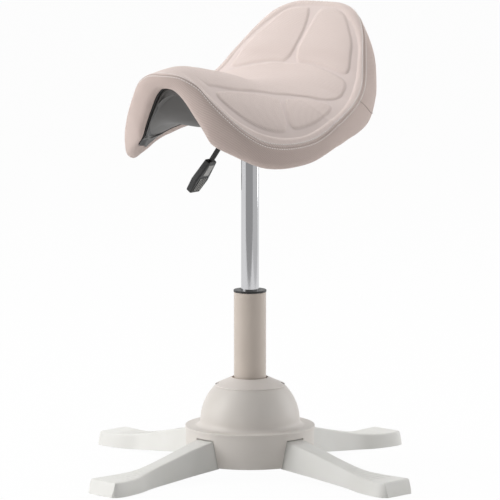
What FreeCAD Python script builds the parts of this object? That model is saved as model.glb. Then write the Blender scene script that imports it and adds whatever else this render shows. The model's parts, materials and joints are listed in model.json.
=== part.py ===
import FreeCAD, Part
import math
import os

# Balance stool: saddle seat on a gas column that sways in a domed base with four legs.
# Millimetres. Origin on the floor under the column, +Z up, the sitter faces -Y.

# Driving sizes of the whole stool
base_turn = 35.0          # degrees the base stands turned from the seat
seat_height = 607.0       # floor to the top of the cushion at the column
seat_width = 328.0        # across the seam at the widest place
seat_front = 223.0        # widest place to the seam at the nose
seat_back = 207.0         # widest place to the seam at the backrest
seat_widest = 5.0         # widest place ahead of the column
back_rise = 113.0         # cushion at the column to the top of the backrest
edge_thickness = 35.0     # height of the upholstered side band at the thighs
column_radius = 25.0      # pressure tube of the gas column
cylinder_radius = 14.0    # chromed cylinder of the gas column
leg_reach = 320.0         # column axis to the end of a foot
foot_width = 68.0         # widest place of a foot
hub_radius = 100.0        # drum that holds the legs
hub_bottom = 16.0         # floor to the lower rim of the drum
hub_top = 66.7            # floor to the deck of the drum
pivot_height = 124.0      # floor to the sway axes
leg_count = 4

# Fits
seat_gap = 0.3            # between soft or curved faces that lie on each other
running_fit = 0.05        # radial, pins and rods that turn or slide
fixed_fit = 0.02          # radial, pieces that don't move on each other
overrun = 5.0             # how far a cut passes a face
axis_z = FreeCAD.Vector(0, 0, 1)
axis_x = FreeCAD.Vector(1, 0, 0)
axis_y = FreeCAD.Vector(0, 1, 0)
origin = FreeCAD.Vector(0, 0, 0)


def at(x, y, z):
    return FreeCAD.Vector(x, y, z)


def save(shape, node):
    shape.exportStep("parts/" + node + ".step")


def tube(outer, inner, low, high):
    body = Part.makeCylinder(outer, high - low, at(0, 0, low))
    return body.cut(Part.makeCylinder(inner, high - low + overrun + overrun, at(0, 0, low - overrun)))


def rod(radius, start, end):
    run = end.sub(start)
    return Part.makeCylinder(radius, run.Length, start, run)


def block(x0, x1, y0, y1, z0, z1):
    return Part.makeBox(x1 - x0, y1 - y0, z1 - z0, at(x0, y0, z0))


def turned(shape, degrees):
    copy = shape.copy()
    copy.rotate(origin, axis_z, degrees)
    return copy


def revolved(edges):
    return Part.Face(Part.Wire(edges)).revolve(origin, axis_z, 360)


def line(a, b):
    return Part.LineSegment(at(a[0], 0, a[1]), at(b[0], 0, b[1])).toShape()


def arc(a, middle, b):
    return Part.Arc(at(a[0], 0, a[1]), at(middle[0], 0, middle[1]), at(b[0], 0, b[1])).toShape()


def polygon(points):
    return [line(points[i], points[(i + 1) % len(points)]) for i in range(len(points))]


def smooth_value(table, x):
    # Cubic run through a table of (place, value), level beyond its ends.
    if x <= table[0][0]:
        return table[0][1]
    if x >= table[-1][0]:
        return table[-1][1]
    last = len(table) - 1
    i = max(k for k in range(last) if table[k][0] <= x)

    def slope(k):
        a = table[max(k - 1, 0)]
        b = table[min(k + 1, last)]
        return (b[1] - a[1]) / (b[0] - a[0])

    x0, y0 = table[i]
    x1, y1 = table[i + 1]
    h = x1 - x0
    t = (x - x0) / h
    start = (2 * t ** 3 - 3 * t ** 2 + 1) * y0 + (t ** 3 - 2 * t ** 2 + t) * h * slope(i)
    return start + (3 * t ** 2 - 2 * t ** 3) * y1 + (t ** 3 - t ** 2) * h * slope(i + 1)


# Base: drum, legs, feet and floor plate
hub_wall = 6.0
hub_rim_round = 1.5
hub_throat = 72.0         # radius of the hole in the deck
hub_post_radius = 7.0
hub_post_place = 83.0
plate_thickness = 2.0
plate_screw_radius = 2.5
plate_screw_head = 5.0
plate_screw_head_height = 2.0
plate_screw_depth = 14.0
socket_gap = 0.8          # dark line round each leg where it enters the drum

leg_root_top = 57.5       # floor to the top of a leg at the drum
leg_tongue_start = 62.0
leg_tongue_half = 15.0
leg_tongue_top = 52.0
leg_wall = 4.0
leg_corner = 3.5          # rounding of the top edges
leg_draft = 0.22          # lean of a leg's sides
foot_end_lean = 0.30      # lean of its end
foot_thickness = 1.0      # rubber under the foot
pad_reach_share = 0.85
pad_half_width = 20.0
pad_end = 24.0            # end of the foot to the rubber
pad_corner = 5.0
rib_thickness = 2.5
rib_count = 6
# reach, half width on the floor, underside and top of a leg, as shares of the reach, half the
# foot width and the top at the drum
leg_shares = (
    (0.294, 0.882, 0.261, 1.000),
    (0.344, 0.838, 0.235, 0.948),
    (0.406, 0.779, 0.202, 0.878),
    (0.469, 0.715, 0.167, 0.800),
    (0.531, 0.665, 0.130, 0.713),
    (0.594, 0.629, 0.096, 0.630),
    (0.656, 0.606, 0.066, 0.553),
    (0.703, 0.612, 0.045, 0.497),
    (0.750, 0.671, 0.028, 0.452),
    (0.797, 0.788, 0.0, 0.421),
    (0.844, 0.897, 0.0, 0.403),
    (0.891, 0.971, 0.0, 0.396),
    (0.938, 1.000, 0.0, 0.398),
    (0.966, 0.970, 0.0, 0.402),
    (0.985, 0.890, 0.0, 0.405),
    (0.997, 0.760, 0.0, 0.408),
    (1.000, 0.600, 0.0, 0.409),
)

bolt_radius = 4.0
bolt_head_radius = 6.5
bolt_head_height = 4.0
bolt_depth = 24.0
bolt_first_share = 0.18   # of the tongue's length inside the drum
bolt_second_share = 0.78

cup_inner = 58.0
cup_wall = 2.3
cup_height = 36.0


def hub():
    inner = hub_radius - hub_wall
    body = revolved(polygon([
        (hub_radius, hub_bottom), (hub_radius, hub_top), (hub_throat, hub_top),
        (hub_throat, hub_top - hub_wall), (inner, hub_top - hub_wall), (inner, hub_bottom)]))
    rims = [e for e in body.Edges if abs(e.BoundBox.ZMax - hub_bottom) < fixed_fit
            and e.BoundBox.XMax > inner + hub_wall / 2]
    body = body.makeFillet(hub_rim_round, rims)
    for k in range(leg_count):
        body = body.cut(turned(leg_window(inner - overrun, hub_radius + overrun), 360 / leg_count * k))
    for k in range(leg_count):
        post = Part.makeCylinder(hub_post_radius, hub_top - hub_wall / 2 - hub_bottom - plate_thickness,
                                 at(hub_post_place, 0, hub_bottom + plate_thickness))
        hole = Part.makeCylinder(plate_screw_radius + fixed_fit, plate_screw_depth + overrun,
                                 at(hub_post_place, 0, hub_bottom + plate_thickness - overrun))
        body = body.fuse(turned(post, 360 / leg_count * (k + 0.5)))
        body = body.cut(turned(hole, 360 / leg_count * (k + 0.5)))
        body = body.cut(turned(dome_screw_hole(), dome_screw_angle(k)))
    return body.removeSplitter()


def leg_window(near, far):
    # Opening in the wall of the drum, with the lean of the leg's sides.
    low = hub_bottom - overrun
    top = leg_root_top + socket_gap
    half = leg_shares[0][1] * foot_width / 2 + socket_gap
    corners = [(low, 1), (top, 1), (top, -1), (low, -1), (low, 1)]
    face = Part.Face(Part.makePolygon([at(near, side * (half - leg_draft * z), z) for z, side in corners]))
    return face.extrude(at(far - near, 0, 0))


def dome_screw_hole():
    return Part.makeCylinder(dome_screw_radius + fixed_fit, hub_wall + overrun + dome_screw_bite,
                             at(dome_screw_place, 0, hub_top - hub_wall - overrun))


def curve(points):
    run = Part.BSplineCurve()
    run.interpolate(points)
    return run.toShape()


def plan_outline(reaches, halves, height):
    # Outline of a leg seen from above, at this height.
    right = [at(x, -(y - leg_draft * height), height) for x, y in zip(reaches, halves)]
    left = [at(p.x, -p.y, height) for p in right]
    return Part.Wire([
        curve(right), Part.LineSegment(right[-1], left[-1]).toShape(), curve(left[::-1]),
        Part.LineSegment(left[0], right[0]).toShape()])


def leg_block(stations, inset, lower, upper):
    # Side profile and leaning plan outline of a leg, kept where they meet.
    reaches = [s[0] * leg_reach for s in stations]
    halves = [s[1] * foot_width / 2 - inset for s in stations]
    lows = [max(s[2] * leg_root_top, foot_thickness) + lower for s in stations]
    sole = lows.index(min(lows))
    highs = [s[3] * leg_root_top - upper for s in stations]
    lean = foot_end_lean * highs[-1] if not inset else 0
    bottom = [at(x, -foot_width, z) for x, z in zip(reaches, lows)]
    last = len(stations) if inset else len(stations) - 4
    top = [at(x, -foot_width, z) for x, z in zip(reaches[:last], highs[:last])]
    if not inset:
        top.append(at(reaches[-1] - lean, -foot_width, highs[-1]))
    profile = Part.Wire([
        curve(bottom[:sole + 1]), Part.LineSegment(bottom[sole], bottom[-1]).toShape(),
        Part.LineSegment(bottom[-1], top[-1]).toShape(), curve(top[::-1]),
        Part.LineSegment(top[0], bottom[0]).toShape()])
    outlines = [plan_outline(reaches, halves, height) for height in (0, leg_root_top + overrun)]
    prism = Part.makeLoft(outlines, True, True)
    return Part.Face(profile).extrude(at(0, 2 * foot_width, 0)).common(prism)


def bolt_places():
    room = leg_reach * leg_shares[0][0] - leg_tongue_start
    return [leg_tongue_start + room * share for share in (bolt_first_share, bolt_second_share)]


def leg():
    # A hollow moulded leg, open below, with cross ribs, and a solid tongue inside the drum.
    outer = leg_block(leg_shares, 0, 0, 0)
    root = leg_reach * leg_shares[0][0]
    rims = [e for e in outer.Edges if e.BoundBox.ZMin > foot_thickness + leg_corner
            and e.BoundBox.XMax > root + leg_corner]
    body = outer.makeFillet(leg_corner, rims)
    stations = leg_shares[1:-6]
    hollow = leg_block(stations, leg_wall, -overrun, leg_wall)
    first = stations[0][0] * leg_reach
    pitch = (stations[-1][0] * leg_reach - first) / rib_count
    for k in range(1, rib_count):
        place = first + pitch * k
        hollow = hollow.cut(block(place, place + rib_thickness, -foot_width, foot_width,
                                  -overrun, leg_root_top))
    body = body.cut(hollow)
    low = hub_bottom + plate_thickness
    body = body.fuse(block(leg_tongue_start, root + leg_wall, -leg_tongue_half, leg_tongue_half,
                           low, leg_tongue_top))
    for place in bolt_places():
        body = body.cut(Part.makeCylinder(bolt_radius + fixed_fit, bolt_depth + overrun,
                                          at(place, 0, low - overrun)))
    return body


def foot_pad():
    pad = block(pad_reach_share * leg_reach, leg_reach - pad_end, -pad_half_width, pad_half_width,
                0, foot_thickness)
    corners = [e for e in pad.Edges if e.BoundBox.ZLength > foot_thickness / 2]
    return pad.makeFillet(pad_corner, corners)


def hex_head(radius, height, place, low):
    head = Part.makePolygon([at(place + radius * math.cos(math.radians(60 * k)),
                                radius * math.sin(math.radians(60 * k)), low) for k in range(7)])
    return Part.Face(head).extrude(at(0, 0, height))


def leg_bolts():
    bolts = []
    low = hub_bottom
    for k in range(leg_count):
        for place in bolt_places():
            shank = Part.makeCylinder(bolt_radius, bolt_depth, at(place, 0, low))
            head = hex_head(bolt_head_radius, bolt_head_height, place, low - bolt_head_height)
            bolts.append(turned(shank.fuse(head).removeSplitter(), 360 / leg_count * k))
    return Part.Compound(bolts)


def bottom_plate():
    low = hub_bottom
    plate = Part.makeCylinder(hub_radius - hub_wall - seat_gap, plate_thickness, at(0, 0, low))
    for k in range(leg_count):
        for place in bolt_places():
            hole = Part.makeCylinder(bolt_radius + fixed_fit, plate_thickness + overrun + overrun,
                                     at(place, 0, low - overrun))
            plate = plate.cut(turned(hole, 360 / leg_count * k))
        hole = Part.makeCylinder(plate_screw_radius + fixed_fit, plate_thickness + overrun + overrun,
                                 at(hub_post_place, 0, low - overrun))
        plate = plate.cut(turned(hole, 360 / leg_count * (k + 0.5)))
    return plate


def plate_screws():
    screws = []
    low = hub_bottom
    for k in range(leg_count):
        shank = Part.makeCylinder(plate_screw_radius, plate_screw_depth, at(hub_post_place, 0, low))
        head = hex_head(plate_screw_head, plate_screw_head_height, hub_post_place,
                        low - plate_screw_head_height)
        screws.append(turned(shank.fuse(head).removeSplitter(), 360 / leg_count * (k + 0.5)))
    return Part.Compound(screws)


def buffer_cup():
    # Steel cup on the floor plate that holds the rubber spring.
    low = hub_bottom + plate_thickness
    wall = tube(cup_inner + cup_wall, cup_inner, low, low + cup_height)
    return wall.fuse(Part.makeCylinder(cup_inner + cup_wall, cup_wall, at(0, 0, low))).removeSplitter()


# Dome, cap and sway joint
flange_radius = hub_radius + 1.0
flange_thickness = 3.3
flange_round = 1.0
dome_radius = 77.5
dome_centre_drop = 47.3   # sway axes to the middle of the dome
dome_centre = pivot_height - dome_centre_drop
dome_wall = 5.0
dome_top_radius = 54.8
dome_foot_round = 9.0
throat_radius = 46.0
throat_depth = 14.0       # sway axes to the lower end of the throat
throat_bottom = pivot_height - throat_depth
cap_radius = 54.5
cap_rim = 2.1
cap_slope = 0.445
cap_wall = 2.2
cap_hole_gap = 3.2
cap_lip = 3.0
cap_notch_width = 8.0
cap_notch_depth = 6.0
dome_screw_radius = 2.5
dome_screw_place = 87.0
dome_screw_bite = 2.0
dome_screw_turn_share = 0.25
ring_inner = 34.0
ring_outer = 41.0
ring_half_height = 5.0
pin_radius = 4.0
pin_end = 54.0
pin_inset = 1.0
socket_wall = 5.0
socket_rise = 10.0        # sway axes to the top of the socket
socket_top = pivot_height + socket_rise
socket_lip = 3.0
socket_hole = 8.0

tube_bottom = 44.0
tube_top = 279.0
tube_wall = 1.5
tube_floor = 4.0
bush_flange = 3.2
bush_flange_proud = 0.6
bush_depth = 60.0

piston_rod_radius = 5.0
rod_end_drop = 4.0
clip_radius = 7.5
clip_thickness = 1.4
washer_radius = 15.0
washer_thickness = 1.5
bearing_height = 3.0
cage_inset = 0.9
bump_radius = 12.0
bump_height = 9.0
piston_height = 10.0

cylinder_bottom = 205.0
cylinder_stand = 5.0      # the cylinder's end above the floor of the case
cylinder_wall = 3.0
taper_length = 39.0
cylinder_taper = 0.9
cylinder_head = 12.0
gland_height = 12.0
valve_radius = 3.0
valve_stand = 4.0
valve_length = 20.0


def sphere_point(radius, height):
    return (math.sqrt(radius ** 2 - (height - dome_centre) ** 2), height)


def dome_top():
    return dome_centre + math.sqrt(dome_radius ** 2 - dome_top_radius ** 2)


def dome():
    inner = dome_radius - dome_wall
    top = dome_top()
    high = hub_top + flange_thickness
    foot = (dome_radius + dome_foot_round, high)
    spring = sphere_point(dome_radius, high + dome_foot_round)
    lean = dome_foot_round * (1 - math.sqrt(0.5))
    middle = (dome_radius + lean, high + lean)
    crown = sphere_point(dome_radius, (spring[1] + top) / 2)
    low = hub_top
    round_mid = flange_round * (1 - math.sqrt(0.5))
    inside_top = sphere_point(inner, throat_bottom - dome_wall)
    inside_low = sphere_point(inner, max(dome_centre, low))
    inside_mid = sphere_point(inner, (inside_top[1] + inside_low[1]) / 2)
    edges = [
        line((flange_radius, low), (flange_radius, high - flange_round)),
        arc((flange_radius, high - flange_round), (flange_radius - round_mid, high - round_mid),
            (flange_radius - flange_round, high)),
        line((flange_radius - flange_round, high), foot),
        arc(foot, middle, spring),
        arc(spring, crown, (dome_top_radius, top)),
        line((dome_top_radius, top), (throat_radius, top)),
        line((throat_radius, top), (throat_radius, throat_bottom)),
        line((throat_radius, throat_bottom), inside_top),
        arc(inside_top, inside_mid, inside_low)]
    if inside_low[1] > low:
        edges.append(line(inside_low, (inside_low[0], low)))
    edges.append(line((inside_low[0], low), (flange_radius, low)))
    body = revolved(edges)
    for side in (1, -1):
        start = at(side * (throat_radius - overrun), 0, pivot_height)
        body = body.cut(rod(pin_radius + fixed_fit, start, at(side * pin_end, 0, pivot_height)))
    for k in range(leg_count):
        body = body.cut(turned(dome_screw_hole(), dome_screw_angle(k) + 45))
    return body


def dome_screws():
    # Up through the deck of the drum into the flange of the dome.
    screws = []
    low = hub_top - hub_wall
    for k in range(leg_count):
        shank = Part.makeCylinder(dome_screw_radius, hub_wall + dome_screw_bite, at(dome_screw_place, 0, low))
        head = hex_head(plate_screw_head, plate_screw_head_height, dome_screw_place,
                        low - plate_screw_head_height)
        screws.append(turned(shank.fuse(head).removeSplitter(), dome_screw_angle(k)))
    return Part.Compound(screws)


def dome_screw_angle(k):
    return 360 / leg_count * (k + dome_screw_turn_share)


def cap():
    # Cone that closes the dome, with the hole that the column sways in.
    low = dome_top()
    hole = column_radius + cap_hole_gap
    high = low + cap_rim + (cap_radius - hole) * cap_slope
    inside = throat_radius - seat_gap
    edges = polygon([
        (cap_radius, low), (cap_radius, low + cap_rim), (hole, high), (hole, high - cap_wall - cap_lip),
        (hole + cap_wall, high - cap_wall - cap_lip), (hole + cap_wall, high - cap_wall - cap_wall * cap_slope),
        (inside, low + cap_rim + (cap_radius - inside) * cap_slope - cap_wall), (inside, low)])
    body = revolved(edges)
    for side in (1, -1):
        reach = side * (cap_radius - cap_notch_depth)
        far = side * (cap_radius + overrun)
        notch = block(min(reach, far), max(reach, far), -cap_notch_width / 2, cap_notch_width / 2,
                      low - overrun, low + cap_rim + cap_notch_depth * cap_slope)
        body = body.cut(notch)
    return body


def gimbal_ring():
    ring = tube(ring_outer, ring_inner, pivot_height - ring_half_height, pivot_height + ring_half_height)
    reach = ring_outer + overrun
    for direction in (axis_x, axis_y):
        start = direction * (-reach)
        end = direction * reach
        lift = at(0, 0, pivot_height)
        ring = ring.cut(rod(pin_radius + running_fit, start.add(lift), end.add(lift)))
    return ring


def sway_pins():
    # Two pins from the throat of the dome into the ring.
    pins = []
    for side in (1, -1):
        start = at(side * (ring_inner + pin_inset), 0, pivot_height)
        pins.append(rod(pin_radius, start, at(side * pin_end, 0, pivot_height)))
    return Part.Compound(pins)


def cross_pins():
    # Two pins from the socket into the ring, square to the first pair.
    pins = []
    for side in (1, -1):
        start = at(0, side * (column_radius + running_fit), pivot_height)
        pins.append(rod(pin_radius, start, at(0, side * (ring_outer - pin_inset), pivot_height)))
    return Part.Compound(pins)


def column_socket():
    outer = column_radius + socket_wall
    body = tube(outer, column_radius + fixed_fit, tube_bottom - socket_lip, socket_top)
    body = body.fuse(tube(outer, socket_hole, tube_bottom - socket_lip, tube_bottom))
    lift = at(0, 0, pivot_height)
    reach = outer + overrun
    for side in (1, -1):
        start = axis_y * (side * column_radius)
        body = body.cut(rod(pin_radius + fixed_fit, start.add(lift), (axis_y * (side * reach)).add(lift)))
    return body.removeSplitter()


def sway_buffer():
    # Rubber ring that centres the foot of the column.
    low = hub_bottom + plate_thickness + cup_wall
    body = tube(cup_inner - seat_gap, column_radius + socket_wall + seat_gap, low,
                hub_bottom + plate_thickness + cup_height + cup_wall)
    return body


# Gas column
def lift_tube():
    body = tube(column_radius, column_radius - tube_wall, tube_bottom, tube_top)
    floor = tube(column_radius, piston_rod_radius + running_fit, tube_bottom, tube_bottom + tube_floor)
    return body.fuse(floor).removeSplitter()


def guide_bush():
    inner = cylinder_radius + running_fit
    body = tube(column_radius - tube_wall - fixed_fit, inner, tube_top - bush_depth, tube_top)
    collar = tube(column_radius + bush_flange_proud, inner, tube_top, tube_top + bush_flange)
    return body.fuse(collar).removeSplitter()


def rod_clip():
    high = tube_bottom - seat_gap
    return tube(clip_radius, piston_rod_radius + fixed_fit, high - clip_thickness, high)


def bearing_floor():
    return tube_bottom + tube_floor


def lower_washer():
    low = bearing_floor()
    return tube(washer_radius, piston_rod_radius + running_fit, low, low + washer_thickness)


def thrust_bearing():
    # Caged balls between the two washers, drawn as their closed ring.
    low = bearing_floor() + washer_thickness
    return tube(washer_radius - cage_inset, piston_rod_radius + running_fit, low, low + bearing_height)


def upper_washer():
    low = bearing_floor() + washer_thickness + bearing_height
    return tube(washer_radius, piston_rod_radius + fixed_fit, low, low + washer_thickness)


def bump_low():
    return bearing_floor() + washer_thickness + washer_thickness + bearing_height


def bump_stop():
    low = bump_low()
    return tube(bump_radius, piston_rod_radius + fixed_fit, low, low + bump_height)


def piston_low():
    return cylinder_bottom + gland_height + piston_height


def piston_rod():
    return rod(piston_rod_radius, at(0, 0, tube_bottom - rod_end_drop), at(0, 0, piston_low()))


def piston():
    bore = cylinder_radius - cylinder_wall
    return Part.makeCylinder(bore - running_fit, piston_height, at(0, 0, piston_low()))


def taper_radius(height):
    # Outside of the cylinder's tapered end.
    return cylinder_radius - cylinder_taper * (height - taper_start) / taper_length


def gas_cylinder():
    bore = cylinder_radius - cylinder_wall
    tip = cylinder_radius - cylinder_taper
    profile = polygon([
        (bore, cylinder_bottom), (cylinder_radius, cylinder_bottom),
        (cylinder_radius, taper_start), (tip, cylinder_top),
        (valve_radius + running_fit, cylinder_top),
        (valve_radius + running_fit, cylinder_top - cylinder_head),
        (bore, cylinder_top - cylinder_head)])
    return revolved(profile)


def cylinder_gland():
    bore = cylinder_radius - cylinder_wall
    return tube(bore - fixed_fit, piston_rod_radius + running_fit, cylinder_bottom,
                cylinder_bottom + gland_height)


def valve_pin():
    return rod(valve_radius, at(0, 0, cylinder_top + valve_stand - valve_length),
               at(0, 0, cylinder_top + valve_stand))


# Seat mechanism and lever
plate_drop = 53.0         # top of the cushion at the column to the top of the plate
seat_plate_thickness = 3.0
plate_top = seat_height - plate_drop
plate_bottom = plate_top - seat_plate_thickness
seat_plate_half_width = 55.0
seat_plate_half_length = 72.0
seat_plate_corner = 10.0
case_half_width = 30.0
case_half_length = 34.0
case_wall = 3.0
case_height = 19.0
case_bottom = plate_bottom - case_height
cylinder_top = case_bottom + cylinder_stand
taper_start = cylinder_top - taper_length
hub_sleeve_radius = 20.0
hub_sleeve_length = 32.0
hub_sleeve_draft = 1.5
lever_pivot_side = 20.0
lever_pivot_drop = 7.7    # below the plate's underside
lever_pivot_height = plate_bottom - lever_pivot_drop
lever_pin_radius = 3.0
lever_barrel_radius = 4.4
lever_place = 10.0        # lever behind the column axis
lug_thickness = 3.0
lug_front = 9.0
lug_back = 22.0
arm_half_height = 2.0
arm_tip = 5.0
arm_width = 12.0
lever_rod_radius = 4.0
lever_droop = 54.0        # degrees below level
lever_bend_side = 32.9
paddle_top_side = 80.6
paddle_length = 62.0
paddle_thickness = 11.0
paddle_top_width = 20.0
paddle_low_width = 33.0
paddle_wide_share = 0.62
paddle_end_share = 0.72
paddle_round = 2.5
paddle_sink = 8.0
grip_inset_depth = 0.8
panel_shares = (0.10, 0.42)
panel_width_share = 0.55
groove_shares = (0.50, 0.92)
grip_ridge_count = 5
grip_ridge_width = 1.6
grip_ridge_pitch = 4.6
slot_clear = 3.0
seat_screw_side = 42.0
seat_screw_ahead = 55.0
seat_screw_radius = 3.0
seat_screw_head = 6.0
seat_screw_head_height = 3.0
seat_screw_bite = 6.0
boss_radius = 9.0


def seat_plate():
    low = plate_bottom
    plate = block(-seat_plate_half_width, seat_plate_half_width, -seat_plate_half_length,
                  seat_plate_half_length, low, plate_top)
    corners = [e for e in plate.Edges if e.BoundBox.ZLength > seat_plate_thickness / 2]
    plate = plate.makeFillet(seat_plate_corner, corners)
    for centre in seat_screw_places():
        plate = plate.cut(Part.makeCylinder(seat_screw_radius + fixed_fit, seat_plate_thickness + overrun
                                            + overrun, at(centre[0], centre[1], low - overrun)))
    return plate


def seat_screw_places():
    return [(x * seat_screw_side, y * seat_screw_ahead) for x in (1, -1) for y in (1, -1)]


def mechanism_case():
    # Folded steel channel under the plate, with the lugs of the lever's pin.
    high = plate_bottom
    outer = block(-case_half_width, case_half_width, -case_half_length, case_half_length,
                  case_bottom, high)
    inner = block(-case_half_width + case_wall, case_half_width - case_wall,
                  -case_half_length - overrun, case_half_length + overrun, case_bottom + case_wall, high)
    body = outer.cut(inner)
    body = body.cut(Part.makeCylinder(taper_radius(case_bottom) + fixed_fit, case_wall + overrun + overrun,
                                      at(0, 0, case_bottom - overrun)))
    for y in (lug_back - lug_thickness, -lug_front):
        lug = block(-lever_pivot_side - lever_barrel_radius, -lever_pivot_side + lever_barrel_radius,
                    y, y + lug_thickness, case_bottom + case_wall, high)
        body = body.fuse(lug)
    pin_run = rod(lever_pin_radius + fixed_fit, at(-lever_pivot_side, -case_half_length, lever_pivot_height),
                  at(-lever_pivot_side, case_half_length, lever_pivot_height))
    slot = block(-case_half_width - overrun, -case_half_width + case_wall + fixed_fit,
                 lever_place - lever_rod_radius - slot_clear, lever_place + lever_rod_radius + slot_clear,
                 lever_pivot_height - lever_rod_radius - slot_clear, high)
    return body.cut(pin_run).cut(slot).removeSplitter()


def taper_sleeve():
    low = case_bottom - hub_sleeve_length
    return revolved(polygon([
        (taper_radius(low) + fixed_fit, low), (hub_sleeve_radius - hub_sleeve_draft, low),
        (hub_sleeve_radius, case_bottom),
        (taper_radius(case_bottom) + fixed_fit, case_bottom)]))


def lever_pin():
    return rod(lever_pin_radius, at(-lever_pivot_side, -lug_front, lever_pivot_height),
               at(-lever_pivot_side, lug_back, lever_pivot_height))


def lever_arm():
    # Barrel on the pin with the finger that presses the valve.
    low = -lug_front + lug_thickness + seat_gap
    high = lug_back - lug_thickness - seat_gap
    barrel = rod(lever_barrel_radius, at(-lever_pivot_side, low, lever_pivot_height),
                 at(-lever_pivot_side, high, lever_pivot_height))
    finger = block(-lever_pivot_side, arm_tip, low, low + arm_width, lever_pivot_height - arm_half_height,
                   lever_pivot_height + arm_half_height)
    body = barrel.fuse(finger)
    hole = rod(lever_pin_radius + running_fit, at(-lever_pivot_side, low - overrun, lever_pivot_height),
               at(-lever_pivot_side, high + overrun, lever_pivot_height))
    return body.cut(hole).removeSplitter()


def droop(side_start, along):
    # Point on the lever's slope, this far along it from its bend.
    angle = math.radians(lever_droop)
    return at(-side_start - along * math.cos(angle), lever_place,
              lever_pivot_height - along * math.sin(angle))


def lever_rod():
    start = at(-lever_pivot_side - lever_barrel_radius + fixed_fit, lever_place, lever_pivot_height)
    bend = at(-lever_bend_side, lever_place, lever_pivot_height)
    run = (paddle_top_side - lever_bend_side) / math.cos(math.radians(lever_droop))
    end = droop(lever_bend_side, run + paddle_sink)
    body = rod(lever_rod_radius, start, bend).fuse(Part.makeSphere(lever_rod_radius, bend))
    return body.fuse(rod(lever_rod_radius, bend, end)).removeSplitter()


def lever_paddle():
    # Flared grip with a recessed panel and ridges on its inner face, drawn along +X then turned.
    half_top = paddle_top_width / 2
    half_low = paddle_low_width / 2
    lower = paddle_length * paddle_wide_share
    face = Part.Face(Part.makePolygon([
        at(0, -half_top, 0), at(lower, -half_low, 0),
        at(paddle_length, -half_low * paddle_end_share, 0),
        at(paddle_length, half_low * paddle_end_share, 0),
        at(lower, half_low, 0), at(0, half_top, 0), at(0, -half_top, 0)]))
    body = face.extrude(at(0, 0, paddle_thickness))
    body = body.makeFillet(paddle_round, body.Edges)
    panel = block(paddle_length * panel_shares[0], paddle_length * panel_shares[1],
                  -half_top * panel_width_share, half_top * panel_width_share,
                  -overrun, grip_inset_depth)
    body = body.cut(panel)
    for k in range(grip_ridge_count):
        y = (k - (grip_ridge_count - 1) / 2) * grip_ridge_pitch
        groove = block(paddle_length * groove_shares[0], paddle_length * groove_shares[1],
                       y - grip_ridge_width / 2, y + grip_ridge_width / 2,
                       -overrun, grip_inset_depth)
        body = body.cut(groove)
    body.translate(at(0, 0, -paddle_thickness / 2))
    bore = rod(lever_rod_radius + fixed_fit, at(-overrun, 0, 0), at(paddle_sink, 0, 0))
    body = body.cut(bore)
    body.rotate(origin, axis_z, 180)
    body.rotate(origin, axis_y, -lever_droop)
    body.translate(droop(lever_bend_side,
                         (paddle_top_side - lever_bend_side) / math.cos(math.radians(lever_droop))))
    return body


# Seat: cushion, shell and pan, each lofted through rings that follow the outline
ring_arcs = 12
rear_squareness = 2.35    # how square the plan is behind the widest place
crown_power = 1.6
back_power = 5.0
power_change_share = 0.33
# height of the seam above the column's place, against degrees round from the nose,
# as a share of the backrest's rise
rim_shares = (
    (0, 0.240), (5, 0.240), (11, 0.215), (20, 0.085), (26, -0.100), (33, -0.300),
    (41, -0.507), (50, -0.672), (58, -0.735), (67, -0.740), (77, -0.690), (88, -0.540),
    (96, -0.370), (104, -0.240), (110, -0.140), (118, -0.030), (125, 0.105), (133, 0.305),
    (140, 0.470), (148, 0.625), (155, 0.735), (165, 0.850), (175, 0.925), (180, 0.935))
# the cushion's middle line, from back to front, the same way
crest_shares = (
    (-1.0, 0.935), (-0.971, 0.965), (-0.942, 0.965), (-0.891, 0.903), (-0.800, 0.699),
    (-0.717, 0.531), (-0.640, 0.389), (-0.577, 0.239), (-0.507, 0.124), (-0.435, 0.053),
    (-0.314, -0.009), (-0.169, -0.022), (-0.024, 0.0), (0.112, 0.050), (0.247, 0.125),
    (0.426, 0.195), (0.538, 0.237), (0.650, 0.274), (0.785, 0.310), (0.874, 0.311),
    (0.942, 0.290), (1.0, 0.240))
# the underside's middle line
belly_shares = (
    (-1.0, -0.195), (-0.701, -0.274), (-0.411, -0.327), (-0.169, -0.336), (0.067, -0.300),
    (0.291, -0.195), (0.516, -0.088), (0.740, -0.009), (0.960, 0.044))
# depth and flare of the side band, as shares of the edge thickness
band_depth_shares = (
    (0, 0.63), (11, 1.21), (17, 1.63), (22, 1.86), (26, 1.88), (40, 1.26), (56, 0.91),
    (80, 0.80), (88, 0.94), (96, 1.29), (103, 1.54), (113, 1.91), (126, 2.29), (138, 2.89),
    (148, 3.13), (165, 3.57), (180, 3.65))
band_flare_shares = (
    (0, -0.26), (15, -0.35), (30, -0.30), (56, -0.05), (80, 0.05), (100, 0.06), (126, 0.12),
    (148, 0.32), (180, 0.40))
band_bulge = 5.0
band_bulge_shares = (0.35, 0.68)
band_turn_share = 0.90    # where the band starts to turn under
band_turn_inset = 0.05    # and how far in it is there and at its foot, of its depth
band_foot_inset = 0.17
lip_width = 9.0           # foot of the band to the recess of the shell
lip_step = 3.5
lip_height = 8.0
roll_crest_inset = 9.0
roll_height = 1.6
channel_outer_inset = 18.0
channel_inner_inset = 27.0
channel_sink = 1.6
pad_shoulder_inset = 34.0
pad_height = 1.4
top_ring_shares = (0.60, 0.34)
top_cap_share = 0.10
top_cap_tilt = 0.15
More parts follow.
